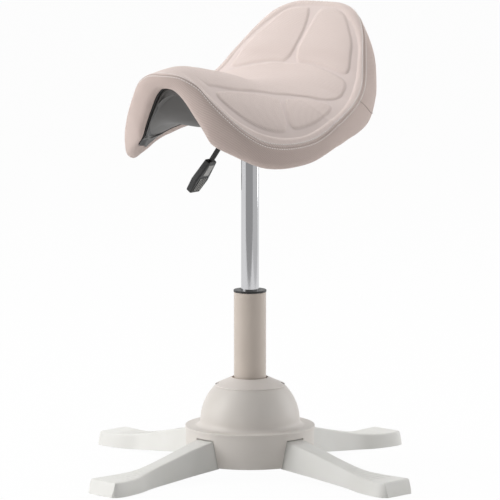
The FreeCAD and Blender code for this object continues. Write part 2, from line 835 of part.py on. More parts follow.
# sewn channels on one half, from place to place: shares of the reach and of the half width
channel_width = 7.0
channel_flare = 1.35
back_seam_shares = ((-0.556, 0), (-0.635, 0), (-0.713, 0), (-0.792, 0), (-0.884, 0))
back_edge_shares = (
    (-0.556, 0), (-0.551, 0.207), (-0.527, 0.415), (-0.493, 0.610), (-0.449, 0.726),
    (-0.400, 0.795))
pad_edge_shares = (
    (-0.227, 0.848), (-0.184, 0.774), (-0.150, 0.689), (-0.087, 0.585), (0.031, 0.494),
    (0.170, 0.451), (0.269, 0.421), (0.381, 0.384), (0.471, 0.366), (0.561, 0.354),
    (0.650, 0.335), (0.731, 0.329), (0.803, 0.354))
thigh_seam_shares = (
    (0.161, 0.451), (0.188, 0.567), (0.238, 0.640), (0.287, 0.707), (0.327, 0.774),
    (0.355, 0.820))
shell_thickness = 4.0
belly_ring_shares = (0.80, 0.50)
shell_reach_share = 0.60  # how far the shell goes on from the last belly ring to the band
belly_cap_share = 0.15
belly_cap_tilt = 0.10
pan_thickness = 3.0
pan_gap = 0.8             # pan to shell where the pan follows the arch
pan_drop = 8.0            # top of the plate to the pan's underside
pan_bottom = plate_top - pan_drop
pan_reach_share = 0.35
pan_flat_share = 0.77
pan_bend_flatness = 0.9
pan_opening_half_width = 50.0
pan_opening_half_length = 66.0


def plan_point(degrees, share, grow):
    # Point of the plan outline: how far ahead of the column, and how far to the left.
    angle = math.radians(degrees)
    c = math.cos(angle)
    s = math.sin(angle)
    half = seat_width / 2 + grow
    if c >= 0:
        return seat_widest + share * (seat_front + grow) * c, share * half * s
    power = 2 / rear_squareness
    ahead = seat_widest - share * (seat_back + grow) * abs(c) ** power
    return ahead, share * half * math.copysign(abs(s) ** power, s)


def length_share(ahead):
    reach = seat_front if ahead >= seat_widest else seat_back
    return (ahead - seat_widest) / reach


def half_width_at(ahead):
    t = min(abs(length_share(ahead)), 1)
    power = 2 if ahead >= seat_widest else rear_squareness
    return seat_width / 2 * (1 - t ** power) ** (1 / power)


def degrees_at(ahead):
    t = min(abs(length_share(ahead)), 1)
    if ahead >= seat_widest:
        return math.degrees(math.acos(t))
    return 180 - math.degrees(math.acos(t ** (rear_squareness / 2)))


def folded(degrees):
    around = degrees % 360
    return min(around, 360 - around)


def rim_height(degrees):
    return seat_height + back_rise * smooth_value(rim_shares, folded(degrees))


def band_depth(degrees):
    return edge_thickness * smooth_value(band_depth_shares, folded(degrees))


def band_flare(degrees):
    return edge_thickness * smooth_value(band_flare_shares, folded(degrees))


def crown_at(ahead):
    behind = -length_share(ahead) / power_change_share - 1
    return crown_power + (back_power - crown_power) * min(max(behind, 0), 1)


def top_height(ahead, side):
    middle = seat_height + back_rise * smooth_value(crest_shares, length_share(ahead))
    half = half_width_at(ahead)
    if half < overrun:
        return middle
    t = min(abs(side) / half, 1)
    return middle - (middle - rim_height(degrees_at(ahead))) * t ** crown_at(ahead)


def belly_height(ahead, side):
    middle = seat_height + back_rise * smooth_value(belly_shares, length_share(ahead))
    half = half_width_at(ahead)
    if half < overrun:
        return middle
    degrees = degrees_at(ahead)
    edge = rim_height(degrees) - band_depth(degrees) + lip_height
    t = min(abs(side) / half, 1)
    return middle - (middle - edge) * t ** crown_power


def seat_ring(place):
    # One closed ring of arcs; place(degrees) gives ahead, side and height.
    points = []
    for k in range(2 * ring_arcs):
        ahead, side, height = place(180 / ring_arcs * k)
        points.append(at(side, -ahead, height))
    edges = []
    for k in range(ring_arcs):
        end = points[(2 * k + 2) % (2 * ring_arcs)]
        edges.append(Part.Arc(points[2 * k], points[2 * k + 1], end).toShape())
    return Part.Wire(edges)


def top_place(share, inset, lift):
    def place(degrees):
        ahead, side = plan_point(degrees, share, -inset)
        return ahead, side, top_height(ahead, side) + lift
    return place


def belly_place(share):
    def place(degrees):
        ahead, side = plan_point(degrees, share, 0)
        return ahead, side, belly_height(ahead, side)
    return place


def flat_place(share, height, tilt):
    def place(degrees):
        ahead, side = plan_point(degrees, share, 0)
        return ahead, side, height + tilt * (ahead - seat_widest)
    return place


def band_place(depth_share, bulge, inset_share):
    def place(degrees):
        depth = band_depth(degrees)
        grow = band_flare(degrees) * depth_share + bulge - inset_share * depth
        ahead, side = plan_point(degrees, 1, grow)
        return ahead, side, rim_height(degrees) - depth * depth_share
    return place


def lip_place(inset, lift):
    # Under the foot of the band, in from it and up into the recess.
    def place(degrees):
        depth = band_depth(degrees)
        grow = band_flare(degrees) - band_foot_inset * depth - inset
        ahead, side = plan_point(degrees, 1, grow)
        return ahead, side, rim_height(degrees) - depth + lift
    return place


def between(inner, outer, share):
    def place(degrees):
        return tuple(a + (b - a) * share for a, b in zip(inner(degrees), outer(degrees)))
    return place


def lowered(above, drop):
    def place(degrees):
        ahead, side, height = above(degrees)
        return ahead, side, height - drop
    return place


def kept_under(above, level, flatness):
    # Draws what stands above a level down towards it.
    def place(degrees):
        ahead, side, height = above(degrees)
        return ahead, side, height - max(height - level, 0) * flatness
    return place


def underside():
    # The cushion's lower face from the middle out to the edge of the shell's recess.
    places = [flat_place(belly_cap_share, belly_height(seat_widest, 0), belly_cap_tilt)]
    places += [belly_place(share) for share in reversed(belly_ring_shares)]
    return places + [lip_place(lip_width + lip_step, lip_height)]


def ringed(places):
    return Part.makeLoft([seat_ring(place) for place in places], True, True)


def plan_place(along, across):
    # Shares of the reach from the widest place and of the half width, as a place.
    reach = seat_front if along >= 0 else seat_back
    return seat_widest + along * reach, across * seat_width / 2


def groove(stations, side):
    # One sewn channel: a trough that follows the top between its stations.
    middles = [plan_place(along, across * side) for along, across in stations]
    sections = []
    for k in range(len(middles)):
        before = middles[max(k - 1, 0)]
        after = middles[min(k + 1, len(middles) - 1)]
        run = math.hypot(after[0] - before[0], after[1] - before[1])
        across = ((before[1] - after[1]) / run, (after[0] - before[0]) / run)
        here = middles[k]

        def beside(offset):
            return here[0] + across[0] * offset, here[1] + across[1] * offset

        rise = top_height(*beside(channel_width)) - top_height(*beside(-channel_width))
        squeeze = 1 / math.hypot(1, rise / (2 * channel_width))
        points = []
        for offset, lift in ((-1.0, 0), (1.0, 0), (channel_flare, 1), (-channel_flare, 1)):
            ahead, left = beside(offset * channel_width / 2 * squeeze)
            height = top_height(ahead, left) - channel_sink + lift * (channel_sink + pad_height + overrun)
            points.append(at(left, -ahead, height))
        sections.append(Part.makePolygon(points + points[:1]))
    return Part.makeLoft(sections, True, True)


def seat_cushion():
    # Crowned foam with a rounded rim, sewn channels between its pads and a bulging side band.
    places = underside() + [
        lip_place(lip_width, 0),
        band_place(1.0, 0, band_foot_inset),
        band_place(band_turn_share, 0, band_turn_inset),
        band_place(band_bulge_shares[1], band_bulge, 0),
        band_place(band_bulge_shares[0], band_bulge, 0),
        top_place(1.0, 0, 0),
        top_place(1.0, roll_crest_inset, roll_height),
        top_place(1.0, channel_outer_inset, -channel_sink),
        top_place(1.0, channel_inner_inset, -channel_sink),
        top_place(1.0, pad_shoulder_inset, pad_height),
        top_place(top_ring_shares[0], 0, pad_height),
        top_place(top_ring_shares[1], 0, pad_height),
        flat_place(top_cap_share, top_height(seat_widest, 0) + pad_height, top_cap_tilt)]
    body = ringed(places).cut(groove(back_seam_shares, 1))
    for side in (1, -1):
        for stations in (back_edge_shares, pad_edge_shares, thigh_seam_shares):
            body = body.cut(groove(stations, side))
    return body


def seat_shell():
    # Moulded carrier that the foam lies on, with bosses for the plate's screws.
    foam = underside()
    rim = between(foam[-2], foam[-1], shell_reach_share)
    top = [lowered(place, seat_gap) for place in foam[:-1] + [rim]]
    low = [lowered(place, shell_thickness) for place in top]
    body = ringed(low + top[::-1])
    foam_space = ringed(top + [lowered(place, -back_rise) for place in top[::-1]])
    for x, y in seat_screw_places():
        boss = Part.makeCylinder(boss_radius, seat_height - plate_top, at(x, y, plate_top)).cut(foam_space)
        body = body.fuse(boss)
        body = body.cut(Part.makeCylinder(seat_screw_radius + fixed_fit, seat_screw_bite + overrun,
                                          at(x, y, plate_top - overrun)))
    return body


def seat_pan():
    # Grey cover below: it follows the arch at its rim and goes flat under the mechanism.
    foam = underside()
    drop = seat_gap + shell_thickness + pan_gap
    rim = lowered(between(foam[-2], foam[-1], pan_reach_share), drop)
    bend = lowered(foam[-3], drop)
    middle = lowered(between(foam[-4], foam[-3], pan_flat_share), drop)
    level = pan_bottom + pan_thickness
    top = [rim, lowered(foam[-2], drop), kept_under(bend, level, pan_bend_flatness),
           kept_under(middle, level, 1)]
    low = [lowered(place, pan_thickness) for place in top]
    body = ringed(low[::-1] + top)
    opening = block(-pan_opening_half_width, pan_opening_half_width,
                    -pan_opening_half_length, pan_opening_half_length, case_bottom, plate_top)
    return body.cut(opening)


def seat_screws():
    screws = []
    low = plate_bottom
    for x, y in seat_screw_places():
        shank = Part.makeCylinder(seat_screw_radius, seat_plate_thickness + seat_screw_bite,
                                  at(x, y, low))
        head = Part.makeCylinder(seat_screw_head, seat_screw_head_height,
                                 at(x, y, low - seat_screw_head_height))
        screws.append(shank.fuse(head).removeSplitter())
    return Part.Compound(screws)


def build():
    os.makedirs("parts", exist_ok=True)
    leg_angle = base_turn + 45
    names = ("rear", "right", "front", "left")
    one_leg = leg()
    one_pad = foot_pad()
    for k in range(leg_count):
        save(turned(one_leg, leg_angle + 360 / leg_count * k), "leg_" + names[k])
        save(turned(one_pad, leg_angle + 360 / leg_count * k), "foot_pad_" + names[k])
    save(turned(hub(), leg_angle), "base_hub")
    save(turned(leg_bolts(), leg_angle), "leg_bolts")
    save(turned(bottom_plate(), leg_angle), "bottom_plate")
    save(turned(plate_screws(), leg_angle), "plate_screws")
    save(turned(dome_screws(), leg_angle), "dome_screws")
    save(buffer_cup(), "buffer_cup")
    save(turned(dome(), base_turn), "base_dome")
    save(turned(cap(), base_turn), "dome_cap")
    save(turned(sway_pins(), base_turn), "sway_pins")
    save(turned(gimbal_ring(), base_turn), "gimbal_ring")
    save(turned(cross_pins(), base_turn), "cross_pins")
    save(turned(column_socket(), base_turn), "column_socket")
    save(sway_buffer(), "sway_buffer")
    save(lift_tube(), "lift_tube")
    save(guide_bush(), "guide_bush")
    save(rod_clip(), "rod_clip")
    save(lower_washer(), "lower_washer")
    save(thrust_bearing(), "thrust_bearing")
    save(upper_washer(), "upper_washer")
    save(bump_stop(), "bump_stop")
    save(piston_rod(), "piston_rod")
    save(piston(), "piston")
    save(gas_cylinder(), "gas_cylinder")
    save(cylinder_gland(), "cylinder_gland")
    save(valve_pin(), "valve_pin")
    save(seat_plate(), "seat_plate")
    save(mechanism_case(), "mechanism_case")
    save(taper_sleeve(), "taper_sleeve")
    save(lever_pin(), "lever_pin")
    save(lever_arm(), "lever_arm")
    save(lever_rod(), "lever_rod")
    save(lever_paddle(), "lever_paddle")
    save(seat_screws(), "seat_screws")
    save(seat_cushion(), "seat_cushion")
    save(seat_shell(), "seat_shell")
    save(seat_pan(), "seat_pan")


build()
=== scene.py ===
import json
import math

import bmesh
import bpy
import numpy as np
from mathutils import Matrix, Vector
from mathutils.bvhtree import BVHTree
from mathutils.kdtree import KDTree

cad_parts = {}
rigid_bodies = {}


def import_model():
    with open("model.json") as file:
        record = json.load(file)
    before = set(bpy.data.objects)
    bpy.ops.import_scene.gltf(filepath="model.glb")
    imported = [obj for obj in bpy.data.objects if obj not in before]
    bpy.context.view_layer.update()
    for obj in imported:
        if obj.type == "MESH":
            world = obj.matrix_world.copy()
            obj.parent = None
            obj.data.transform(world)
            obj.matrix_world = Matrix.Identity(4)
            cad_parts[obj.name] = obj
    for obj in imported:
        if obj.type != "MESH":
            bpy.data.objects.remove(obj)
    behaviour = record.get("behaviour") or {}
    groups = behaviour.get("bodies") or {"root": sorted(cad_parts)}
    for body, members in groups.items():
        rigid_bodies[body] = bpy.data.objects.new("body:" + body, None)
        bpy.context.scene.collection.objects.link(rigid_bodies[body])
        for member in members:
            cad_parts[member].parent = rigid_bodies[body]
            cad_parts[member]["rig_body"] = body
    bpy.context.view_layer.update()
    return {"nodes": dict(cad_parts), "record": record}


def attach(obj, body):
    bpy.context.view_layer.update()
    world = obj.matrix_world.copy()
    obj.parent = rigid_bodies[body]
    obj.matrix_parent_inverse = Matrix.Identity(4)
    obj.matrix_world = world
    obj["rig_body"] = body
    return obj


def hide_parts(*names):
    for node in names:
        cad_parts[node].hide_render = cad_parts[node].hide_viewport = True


# Looks of the balance stool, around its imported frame: +Z is up and the sitter faces -Y. Sizes are
# in millimetres and turned to metres when a mesh is made. Places on the seat are written ahead
# (-Y), side (+X) and height. Turns round its plan go from 0 degrees at the nose to 180 at the back.

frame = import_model()
nodes = frame["nodes"]

MM = 0.001
BASE_TURN = math.radians(35)  # the photographer stands this far round from the front


# Materials

def linear(hex_colour):
    """sRGB hex to the linear colour that shaders take."""
    parts = [int(hex_colour[i:i + 2], 16) / 255 for i in (1, 3, 5)]
    return [c / 12.92 if c <= 0.04045 else ((c + 0.055) / 1.055) ** 2.4 for c in parts] + [1]


def add(tree, kind, settings=None, links=None):
    """One shader node with its settings, socket values and incoming links."""
    made = tree.nodes.new(kind)
    for name, value in (settings or {}).items():
        if isinstance(name, str) and name in made.bl_rna.properties:
            setattr(made, name, value)
        else:
            made.inputs[name].default_value = value
    for name, source in (links or {}).items():
        tree.links.new(source, made.inputs[name])
    return made


def new_material(name):
    """An empty material and its node tree."""
    made = bpy.data.materials.new(name)
    made.use_nodes = True
    made.node_tree.nodes.clear()
    return made, made.node_tree


def close_material(tree, shader):
    """Ends a material in its shader."""
    add(tree, "ShaderNodeOutputMaterial", None, {"Surface": shader.outputs[0]})


# the part of its range that a noise hardly leaves, and the knit's repeat as drawn, mm
NOISE_RANGE = {"From Min": 0.3, "From Max": 0.7}
KNIT_PITCH = 2.6


def spacer_mesh_fabric():
    """Polyester spacer mesh, warp knitted: small staggered holes, soft and without shine.
    The knit repeats about every 2.2 mm and is drawn a little coarser so that it shows, with the
    yarn's fuzz about a millimetre across. It lies flat where it is pressed into a channel, and
    the side band is darkened a little with painted shade."""
    made, tree = new_material("polyester_spacer_mesh")
    uv = add(tree, "ShaderNodeUVMap", {"uv_map": "cloth"})
    scale = 1 / (KNIT_PITCH * MM)
    place = add(tree, "ShaderNodeMapping", {"Scale": (scale, scale, 1)}, {"Vector": uv.outputs[0]})
    split = add(tree, "ShaderNodeSeparateXYZ", None, {0: place.outputs[0]})
    waves = []
    for sign in (1, -1):
        across = add(tree, "ShaderNodeMath", {"operation": "MULTIPLY", 1: sign},
                     {0: split.outputs[1]})
        both = add(tree, "ShaderNodeMath", {"operation": "ADD"},
                   {0: split.outputs[0], 1: across.outputs[0]})
        turn = add(tree, "ShaderNodeMath", {"operation": "MULTIPLY", 1: math.tau},
                   {0: both.outputs[0]})
        waves.append(add(tree, "ShaderNodeMath", {"operation": "SINE"}, {0: turn.outputs[0]}))
    knit = add(tree, "ShaderNodeMath", {"operation": "ADD"},
               {0: waves[0].outputs[0], 1: waves[1].outputs[0]})
    holes = add(tree, "ShaderNodeMapRange",
                {"From Min": -2.0, "From Max": 0.6, "To Min": 0.0, "To Max": 1.0},
                {"Value": knit.outputs[0]})
    channel = add(tree, "ShaderNodeAttribute", {"attribute_name": "pressed"})
    flat = add(tree, "ShaderNodeMath", {"operation": "SUBTRACT", 0: 1.0, "use_clamp": True},
               {1: channel.outputs["Fac"]})
    depth = add(tree, "ShaderNodeMath", {"operation": "MULTIPLY"},
                {0: holes.outputs[0], 1: flat.outputs[0]})
    cloth = add(tree, "ShaderNodeMix",
                {"data_type": "RGBA", 6: linear("#BDABA4"), 7: linear("#EADCD6")},
                {0: holes.outputs[0]})
    smooth = add(tree, "ShaderNodeMix", {"data_type": "RGBA", 7: linear("#DACCC7")},
                 {0: channel.outputs["Fac"], 6: cloth.outputs[2]})
    cloud = add(tree, "ShaderNodeTexNoise", {"Scale": 900.0, "Detail": 4.0, "Roughness": 0.6},
                {"Vector": uv.outputs[0]})
    fuzz = add(tree, "ShaderNodeMapRange", {**NOISE_RANGE, "To Min": 0.95, "To Max": 1.03},
               {"Value": cloud.outputs[0]})
    worn = add(tree, "ShaderNodeMix", {"data_type": "RGBA", "blend_type": "MULTIPLY", 0: 1.0},
               {6: smooth.outputs[2], 7: fuzz.outputs[0]})
    # painted shade: the side band's cloth is multiplied darker by its "band" value
    band = add(tree, "ShaderNodeAttribute", {"attribute_name": "band"})
    band_painted_shade = add(tree, "ShaderNodeMix",
              {"data_type": "RGBA", "blend_type": "MULTIPLY", 7: linear("#EFEBE9")},
              {0: band.outputs["Fac"], 6: worn.outputs[2]})
    bump = add(tree, "ShaderNodeBump", {"Strength": 0.5, "Distance": 0.6 * MM},
               {"Height": depth.outputs[0]})
    fine = add(tree, "ShaderNodeBump", {"Strength": 0.2, "Distance": 0.2 * MM},
               {"Height": cloud.outputs[0], "Normal": bump.outputs[0]})
    shader = add(tree, "ShaderNodeBsdfPrincipled",
                 {"Roughness": 0.92, "Specular IOR Level": 0.25, "Sheen Weight": 0.12,
                  "Sheen Roughness": 0.5},
                 {"Base Color": band_painted_shade.outputs[2], "Normal": fine.outputs[0]})
    close_material(tree, shader)
    return made


def moulded(name, base, shade, roughness, grain, depth, specular=0.5):
    """Moulded plastic or rubber, powder coat or thread: a grain and its depth in mm, a slight
    cloudiness about 50 mm across and a satin skin."""
    made, tree = new_material(name)
    place = add(tree, "ShaderNodeTexCoord")
    skin = add(tree, "ShaderNodeTexNoise",
               {"Scale": 1 / (grain * MM), "Detail": 3.0, "Roughness": 0.6},
               {"Vector": place.outputs["Object"]})
    cloud = add(tree, "ShaderNodeTexNoise", {"Scale": 18.0, "Detail": 3.0, "Roughness": 0.5},
                {"Vector": place.outputs["Object"]})
    tone = add(tree, "ShaderNodeMapRange", NOISE_RANGE, {"Value": cloud.outputs[0]})
    mixed = add(tree, "ShaderNodeMix", {"data_type": "RGBA", 6: linear(base), 7: linear(shade)},
                {0: tone.outputs[0]})
    gloss = add(tree, "ShaderNodeMapRange",
                {**NOISE_RANGE, "To Min": roughness - 0.05, "To Max": roughness + 0.06},
                {"Value": skin.outputs[0]})
    bump = add(tree, "ShaderNodeBump", {"Strength": 0.25, "Distance": depth * MM},
               {"Height": skin.outputs[0]})
    shader = add(tree, "ShaderNodeBsdfPrincipled", {"Specular IOR Level": specular},
                 {"Base Color": mixed.outputs[2], "Roughness": gloss.outputs[0],
                  "Normal": bump.outputs[0]})
    close_material(tree, shader)
    return made


def metal(name, base, shade, roughness, grain, spread=0.2):
    """Plated steel: clouded on the scale of its grain in mm, with the roughness of its plating."""
    made, tree = new_material(name)
    place = add(tree, "ShaderNodeTexCoord")
    cloud = add(tree, "ShaderNodeTexNoise",
                {"Scale": 1 / (grain * MM), "Detail": 4.0, "Roughness": 0.6},
                {"Vector": place.outputs["Object"]})
    tone = add(tree, "ShaderNodeMapRange", NOISE_RANGE, {"Value": cloud.outputs[0]})
    mixed = add(tree, "ShaderNodeMix", {"data_type": "RGBA", 6: linear(base), 7: linear(shade)},
                {0: tone.outputs[0]})
    low, high = roughness * (1 - spread), roughness * (1 + spread)
    gloss = add(tree, "ShaderNodeMapRange", {**NOISE_RANGE, "To Min": low, "To Max": high},
                {"Value": cloud.outputs[0]})
    shader = add(tree, "ShaderNodeBsdfPrincipled", {"Metallic": 1.0},
                 {"Base Color": mixed.outputs[2], "Roughness": gloss.outputs[0]})
    close_material(tree, shader)
    return made


# knitted polyester: the saddle's soft, dull, even pink beige
fabric = spacer_mesh_fabric()
# spun polyester: pale dashes beside the seam
thread = moulded("sewing_thread", "#F8F3F0", "#F2ECE9", 0.8, 0.5, 0.05, 0.2)
# the seat's cloth darkened with painted shade for the joints of the side band: a thin darker line
shaded_cloth = moulded("cloth_darkened_painted_shade", "#A4958F", "#9A8B86", 0.9, 0.5, 0.05, 0.1)
# the seat's cloth darkened with painted shade for the groove of the seam: a soft line, less dark
groove_painted_shade = moulded("cloth_painted_shade_in_seam", "#C3B3AD", "#BBABA5", 0.9, 0.5, 0.05, 0.1)
# nylon from a finely grained mould: black with a dull sheen
black_nylon = moulded("black_nylon", "#232323", "#1B1B1B", 0.42, 0.9, 0.05)
# polypropylene with a coarser grain: a flatter black
shell_polypropylene = moulded("black_polypropylene", "#262625", "#1E1E1E", 0.5, 1.0, 0.06)
# the same in grey: the lining of the arch
pan_polypropylene = moulded("grey_polypropylene", "#5C5A58", "#565452", 0.5, 1.0, 0.06)
# the same in warm grey, with a satin skin: the drum and the dome
hub_polypropylene = moulded("warm_grey_polypropylene", "#DCD6D0", "#D8D2CB", 0.42, 1.1, 0.05)
# the same plastic painted paler on the cap, as painted light where the seat shades it
cap_painted_lighter = moulded("warm_grey_cap_painted_light", "#E2DBD5", "#DED7D1", 0.45, 1.1, 0.05)
# a cooler, paler grey: the legs
leg_polypropylene = moulded("pale_grey_polypropylene", "#E3E2DE", "#DFDED9", 0.40, 1.1, 0.05)
# hard plastic let into the grip: a mid grey panel
inset_grey = moulded("grey_grip_inset", "#A3A29F", "#999895", 0.45, 0.9, 0.04)
# moulded rubber: black without shine
rubber = moulded("black_rubber_moulding", "#1D1D1D", "#171717", 0.7, 0.8, 0.08, 0.3)
# powder coat on steel tube: smooth beige with an even sheen
tube_coat = moulded("beige_powder_coat", "#CFC3B8", "#CABEB3", 0.38, 0.7, 0.03)
# the same on the bent steel under the seat: a dull black
black_coat = moulded("black_powder_coat", "#202020", "#191919", 0.5, 0.6, 0.05)
# hard chrome, ground and polished: it mirrors the pale room and its two grey cards
chrome = metal("chromed_steel", "#CDCDCF", "#CACACC", 0.07, 40.0, 0.03)
# zinc plate: dull grey and faintly cloudy
zinc = metal("zinc_plated_steel", "#B9BABC", "#A3A4A8", 0.34, 5.0)

finishes = {
    "seat_fabric": fabric, "black_plastic": black_nylon, "pan_plastic": pan_polypropylene,
    "base_plastic": hub_polypropylene, "cap_plastic": cap_painted_lighter,
    "leg_plastic": leg_polypropylene, "tube_paint": tube_coat, "chrome": chrome,
    "black_steel": black_coat, "zinc_steel": zinc, "black_rubber": rubber}
slots = {part["node"]: part["material_slot"] for part in frame["record"]["subparts"]}
body_names = {n: o["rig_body"] for n, o in nodes.items()}


def finish_node(name):
    """A carried-over node takes the material of its slot."""
    node = nodes[name]
    node.data.materials.clear()
    node.data.materials.append(finishes[slots[name]])


for node_name in nodes:
    finish_node(node_name)


# Making pieces

def new_object(name, shape, material):
    """An object at the origin with this shape and material."""
    mesh = bpy.data.meshes.new(name)
    shape.to_mesh(mesh)
    shape.free()
    mesh.materials.append(material)
    made = bpy.data.objects.new(name, mesh)
    bpy.context.scene.collection.objects.link(made)
    return made


def piece(name, shape, material, body, replaced):
    """A piece that rides on a body, in the place of the replaced nodes if there are any."""
    made = new_object(name, shape, material)
    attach(made, body)
    if replaced:
        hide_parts(*replaced)
    return made


def softened(made, width, angle=30):
    """Rounds a piece's sharp edges and evens its shading."""
    bevel = made.modifiers.new("edges", "BEVEL")
    bevel.width = width * MM
    bevel.segments = 2
    bevel.limit_method = "ANGLE"
    bevel.angle_limit = math.radians(angle)
    even = made.modifiers.new("shading", "WEIGHTED_NORMAL")
    even.keep_sharp = True


def shaded(shape, angle=35):
    """Smooth faces with sharp edges where they turn by more than the angle."""
    for face in shape.faces:
        face.smooth = True
    for edge in shape.edges:
        edge.smooth = len(edge.link_faces) != 2 or edge.calc_face_angle(0) < math.radians(angle)


def recast(node_name, name, width=0.5):
    """A node's own shape, merged, with rounded edges and even shading."""
    shape = bmesh.new()
    shape.from_mesh(nodes[node_name].data)
    bmesh.ops.remove_doubles(shape, verts=shape.verts, dist=0.01 * MM)
    bmesh.ops.dissolve_limit(shape, angle_limit=math.radians(0.5), verts=shape.verts,
                             edges=shape.edges)
    shaded(shape)
    made = piece(name, shape, finishes[slots[node_name]], body_names[node_name], [node_name])
    if width:
        softened(made, width)


def box(shape, lay, size):
    """A box of this size in mm, laid by a matrix."""
    bmesh.ops.create_cube(shape, size=MM, matrix=lay @ Matrix.Diagonal((*size, 1)))


def moved(place):
    """The matrix that moves by this many mm."""
    return Matrix.Translation(Vector(place) * MM)


def turned_piece(name, profile, material, body, replaced):
    """A turned solid from its closed profile of (radius, height)."""
    shape = bmesh.new()
    corners = [shape.verts.new((r * MM, 0, z * MM)) for r, z in profile]
    sides = [shape.edges.new(pair) for pair in zip(corners, corners[1:] + corners[:1])]
    bmesh.ops.spin(shape, geom=corners + sides, cent=(0, 0, 0), axis=(0, 0, 1), angle=math.tau,
                   steps=160, use_merge=True)
    bmesh.ops.remove_doubles(shape, verts=shape.verts, dist=0.01 * MM)
    bmesh.ops.recalc_face_normals(shape, faces=shape.faces)
    shaded(shape, 25)
    softened(piece(name, shape, material, body, replaced), 0.4, 25)


# Cushion

# height of the middle of the top, how far the back rises over it, and the side band's depth
SEAT_HEIGHT, BACK_RISE, EDGE = 607.0, 113.0, 35.0
# the plan: half width, lengths to the nose and to the back from where it is widest, where that is,
# and how square the back is, where 2 is an ellipse
HALF_WIDTH, FRONT, BACK, WIDEST, SQUARE = 164.0, 223.0, 207.0, 5.0, 2.55
# the power by which the top falls from its middle to its rim, how much more it has at the back,
# the share of the length at which that begins, and the power below the seat
CROWN_POWER, BACK_POWER, BACK_START, BELLY_POWER = 1.6, 3.4, 0.311, 1.6
# how far the belly's outer edge lies over the foot of the side band, and the half width under
# which the plan's two tips take the height of the middle
LIP_HEIGHT, TIP_WIDTH = 13.0, 5.0
# heights round the seam by turn, as shares of the back's rise
RIM_SHARES = (
    (0, 0.240), (5, 0.240), (11, 0.215), (20, 0.085), (26, -0.100), (33, -0.300),
    (41, -0.507), (50, -0.672), (58, -0.735), (67, -0.740), (77, -0.690), (88, -0.540),
    (96, -0.370), (104, -0.240), (110, -0.140), (118, -0.010), (125, 0.145), (133, 0.355),
    (140, 0.520), (148, 0.665), (155, 0.748), (165, 0.834), (175, 0.910), (180, 0.925))
# heights along the middle of the top and of the underside, by share of the length ahead
CREST_SHARES = (
    (-1.0, 0.935), (-0.971, 0.965), (-0.942, 0.965), (-0.891, 0.903), (-0.800, 0.699),
    (-0.717, 0.531), (-0.640, 0.389), (-0.577, 0.239), (-0.507, 0.124), (-0.435, 0.053),
    (-0.314, -0.009), (-0.169, -0.022), (-0.024, 0.0), (0.112, 0.050), (0.247, 0.125),
    (0.426, 0.195), (0.538, 0.237), (0.650, 0.274), (0.785, 0.310), (0.874, 0.311),
    (0.942, 0.290), (1.0, 0.240))
BELLY_SHARES = (
    (-1.0, -0.195), (-0.701, -0.274), (-0.411, -0.327), (-0.169, -0.336), (0.067, -0.300),
    (0.291, -0.195), (0.516, -0.088), (0.740, -0.009), (0.960, 0.044))
# depth of the side band by turn, and how far its foot stands out, as shares of its depth
DEPTH_SHARES = (
    (0, 0.61), (5, 0.70), (11, 1.06), (17, 1.52), (22, 1.80), (26, 1.86), (40, 1.27), (56, 0.98),
    (80, 0.88), (88, 0.99), (96, 1.26), (103, 1.49), (113, 1.86), (126, 2.29), (138, 2.89),
    (148, 3.13), (165, 3.57), (180, 3.65))
FLARE_SHARES = (
    (0, -0.26), (15, -0.35), (30, -0.30), (56, -0.05), (80, 0.04), (100, -0.06), (126, -0.06),
    (148, 0.24), (180, 0.40))
# the side band from the seam down to where it turns under: share of its depth, mm it stands out
BAND_PROFILE = ((0.0, -1.2), (0.015, 0.3), (0.04, 1.5), (0.10, 2.9), (0.20, 4.2), (0.35, 5.0),
                (0.50, 5.2), (0.68, 5.0))
BAND_TURN, BAND_OUT = BAND_PROFILE[-1]
BAND_TURN_ROWS = 11
# by turn: how far in the foot of the band lies, as a share of its depth, how far the cloth goes on
# inwards below it and how far that rises, mm, with the power of the rise and its rows
FOOT_SHARES = ((0, 0.05), (18, 0.02), (34, 0.02), (46, 0.15), (60, 0.17), (100, 0.17))
LIP_REACH = ((0, 2.0), (34, 2.0), (45, 13.0), (60, 13.0), (75, 11.0), (100, 9.0))
LIP_RISE = ((0, 0.5), (34, 0.5), (46, 12.0), (60, 15.0), (100, 14.0), (130, 8.0), (180, 4.0))
LIP_POWER = 1.6
LIP_SHARES = (0.2, 0.4, 0.6, 0.8)
# by turn: how far the seam lies in from the rim, mm, and the share of the band that evens that out
SEAM_INSET = ((98, 0.0), (112, 5.5), (124, 11.0), (134, 12.0), (146, 8.0), (158, 4.0), (172, 0.0))
SEAM_EASE = 0.35
# from the end of that cloth into the recess of the shell: mm inwards, mm up
LIP_PROFILE = ((0.0, 0.0), (1.4, 0.8), (2.5, 2.4), (3.1, 5.0), (3.5, 8.0))

# the cushion's grid: columns, even rows of the top, its last rows by their mm from the seam, the
# share of the plan at which the middle is closed, the rows below by theirs, and how far those lie
# over the belly
COLUMNS, TOP_ROWS = 600, 126
NEAR_SEAM = (10.6, 9.0, 7.4, 6.0, 4.7, 3.5, 2.5, 1.6, 0.8, 0.0)
MIDDLE_SHARE = 0.004
BELLY_ROWS = (0.8, 0.65, 0.5, 0.3, 0.1, MIDDLE_SHARE)
BELLY_INSET = 2.0

# how far the bare top is sunk, and how high the roll round the edge and the pads stand over it,
# each with the width over which it rounds off. At the seam a share of the roll is left. A pad is
# grown past its places and crowned, and the cloth is pressed flat over a width from its edge
CHANNEL_SINK = 1.6
ROLL_HEIGHT, ROLL_WIDTH, SEAM_SHARE, SEAM_WIDTH = 3.2, 7.0, 0.12, 5.5
PAD_HEIGHT, PAD_WIDTH, PAD_GROWTH = 2.3, 5.5, 1.3
PAD_CROWN, CROWN_WIDTH = 1.5, 45.0
PRESSED_WIDTH = 2.0
ROUNDING = 2.3
